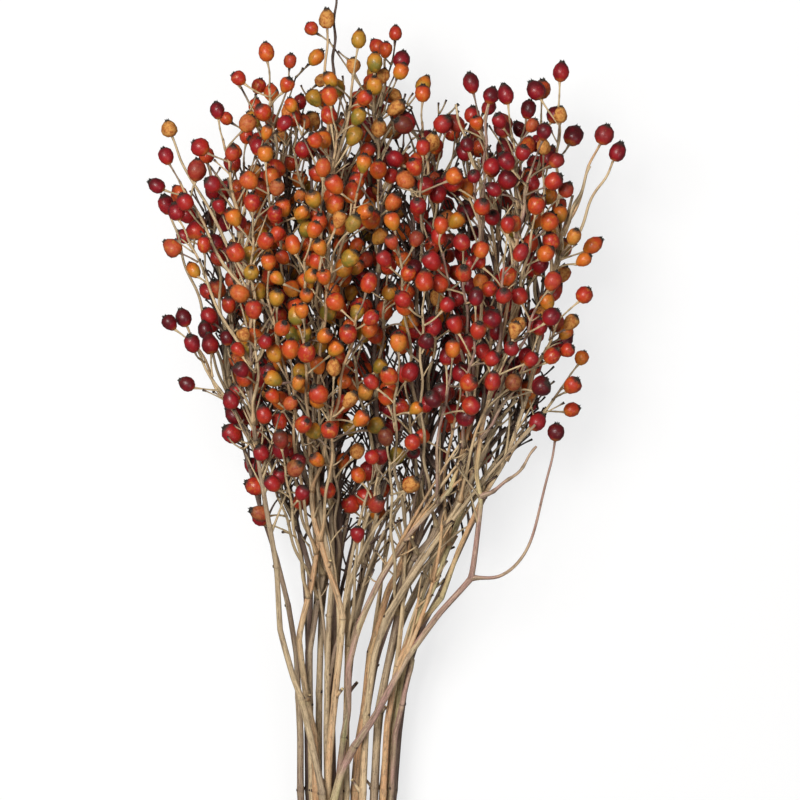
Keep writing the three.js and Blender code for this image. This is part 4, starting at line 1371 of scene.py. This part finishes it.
def hip_skin():
    f = Finish("hip_skin")
    place = f.object_place()
    ripe, dry, seed, axis = [f.attribute(name) for name in ("ripe", "dry", "seed", "axis")]
    fine = f.noise(place, 900, 2)
    flush = ripe + (f.noise(place, 150, 3) - 0.5) * 0.5 + (axis - 0.5) * 0.24 + (seed - 0.5) * 0.16
    blotch = f.noise(place, 420, 4, 0.6).step(0.54, 0.7)
    gold = f.noise(place, 330, 3, 0.6).step(0.5, 0.68) * (1 - ripe.step(0.45, 0.8))
    speck = 1 - f.cells(place, 700).step(0.1, 0.2)
    colour = f.coats(flush.ramp(RIPENESS), (1 - axis.step(0.02, 0.2), 0.5, 196, 124, 44),
                     (blotch, 0.45, 96, 30, 18), (gold, 0.5, 206, 138, 46), (speck, 0.22, 214, 140, 70))
    withered = (f.noise(place, 560, 3, 0.65) + 0.1).ramp(WITHERED)
    cap = (axis + (fine - 0.5) * 0.16 - seed * 0.08).step(0.8, 0.93)
    colour = f.coats(f.mix(dry.step(0.2, 0.75), colour, withered), (cap, 0.85, 56, 48, 42))
    height = fine * 0.12 + f.noise(place, 950, 3, 0.6) * (dry * 0.9 + 0.06 + cap * 0.4)
    rough = 0.36 + fine * 0.14 + dry.step(0.1, 0.7) * 0.3 + cap * 0.3
    gloss = (1 - dry.step(0.1, 0.6)) * (1 - cap) * 0.2
    return f.finish(colour=colour, roughness=rough, coat=gloss, coat_roughness=0.14, specular=0.35,
                    normal=f.bump(height, 0.6, 0.0006))


def dried_calyx():
    f = Finish("dried_calyx")
    grain = f.noise(f.object_place(), 1300, 3)
    return f.finish(colour=grain.ramp(CALYX_GREYS), roughness=0.85, specular=0.25,
                    normal=f.bump(grain, 0.5, 0.0004))


def bark():
    """Streaked and flecked bark, its joints and buds, and the pale wood of a cut."""
    f = Finish("bark")
    skin = f.attribute("skin", "Vector")
    names = ("tone", "scar", "band", "pith", "slim")
    tone, scar, band, pith, slim = [f.attribute(name) for name in names]

    def grained(factors, *settings):
        return f.noise(f.stretch(skin, factors), *settings)

    streak = grained((1, 1, 0.05), 1.5, 4, 0.6)
    grain = grained((1, 1, 0.25), 5, 3)
    mottle = grained((1, 1, 0.3), 0.9, 4, 0.65)
    fleck = grained((1, 1, 0.5), 2.6, 3, 0.6).step(0.58, 0.68)
    shade = tone + (grained((0.4, 0.4, 0.05), 0.8, 3) - 0.5) * 0.34
    pale = (1 - streak.step(0.3, 0.46)) * tone.step(0.02, 0.3)
    lenticel = (1 - f.cells(f.stretch(skin, (1, 1, 0.55)), 0.5).step(0.06, 0.13)) * (1 - slim)
    colour = f.coats(shade.ramp(BARK_TONES), (streak.step(0.46, 0.66), 0.55, 90, 70, 54),
                     (pale, 0.5, 204, 190, 154), (mottle.step(0.5, 0.66), 0.55, 96, 78, 62),
                     (fleck * tone.step(0.1, 0.3), 0.5, 208, 194, 160),
                     (grain.step(0.5, 0.75), 0.25, 62, 52, 42), (lenticel, 0.6, 72, 54, 42),
                     (band, 0.3, 190, 172, 124), (scar, 0.85, 48, 36, 28),
                     (slim * tone.step(0.1, 0.35), 0.45, 196, 172, 128))
    wood = (pith + (grain - 0.5) * 0.1).ramp(CUT_WOOD)
    height = streak * 0.6 + grain * 0.25 + lenticel * 0.5
    return f.finish(colour=f.mix(pith.step(0.02, 0.12), colour, wood), roughness=0.55 + grain * 0.22,
                    specular=0.3, normal=f.bump(height, 0.5, 0.0005))


def jute():
    f = Finish("jute")
    strand = f.noise(f.stretch(f.attribute("skin", "Vector"), (1, 1, 0.12)), 6, 3, 0.6)
    colour = (strand + (f.attribute("tone") - 0.5) * 0.3).ramp(JUTE)
    return f.finish(colour=colour, roughness=0.9, normal=f.bump(strand, 0.8, 0.0004))


def studio_paint(name, white, glow):
    return Finish(name).finish(colour=(white, white, white), roughness=0.95, specular=0,
                               emission=(1, 1, 1), emission_strength=glow)


# ------------------------------------------------------------------ assembly
SPRIG_SEED = 500


def add_stage(name, bm, paint):
    """A piece of the studio: seen by the camera, and no light of its own on the bunch."""
    mesh = mesh_of(bm, name)
    mesh.materials.append(paint)
    stage = add_object(name, mesh)
    stage.visible_diffuse = False
    stage.visible_glossy = False
    return stage


def add_floor_and_backdrop():
    bm = bmesh.new()
    bmesh.ops.create_grid(bm, x_segments=2, y_segments=2, size=STAGE_SIZE)
    add_stage("floor", bm, studio_paint("floor_paint", FLOOR_WHITE, FLOOR_GLOW))
    bm = bmesh.new()
    bmesh.ops.create_icosphere(bm, subdivisions=3, radius=STAGE_SIZE * 1.3)
    backdrop = add_stage("backdrop", bm, studio_paint("backdrop_paint", 0, BACKDROP_GLOW))
    backdrop.visible_shadow = False


def build_sprig(sprig, wood, hips, calyces):
    """Puts one sprig's wood, fruit and dried crowns together."""
    rng = random.Random(SPRIG_SEED + sprig["owner"])
    build_cane(wood, sprig, rng)
    if not sprig["branches"]:
        return
    for truss, hip in build_leaders(wood, sprig, rng) + build_shoots(wood, sprig, rng):
        build_hip(hips, calyces, truss, hip, rng)
    for branch in sprig["branches"]:
        build_branch(wood, sprig, branch, rng)
        build_spurs(wood, sprig, branch, rng)
        for hip in branch["hips"]:
            if branch["row"][3] > 1:
                build_pedicel(wood, branch, hip, rng)
            build_hip(hips, calyces, branch, hip, rng)


def add_sprigs():
    wood_finish, skin_finish, calyx_finish = bark(), hip_skin(), dried_calyx()
    for sprig in sprigs:
        name = sprig["name"]
        wood, hips, calyces = Piece(name + "_wood"), Piece(name + "_hips"), Piece(name + "_calyces")
        build_sprig(sprig, wood, hips, calyces)
        wood.finish(wood_finish, "sprig", name)
        if sprig["branches"]:
            hips.finish(skin_finish, "sprig")
            calyces.finish(calyx_finish, "sprig")


add_camera()
add_lights()
add_floor_and_backdrop()
add_sprigs()
build_twine().finish(jute(), "twine", "twine_tie")
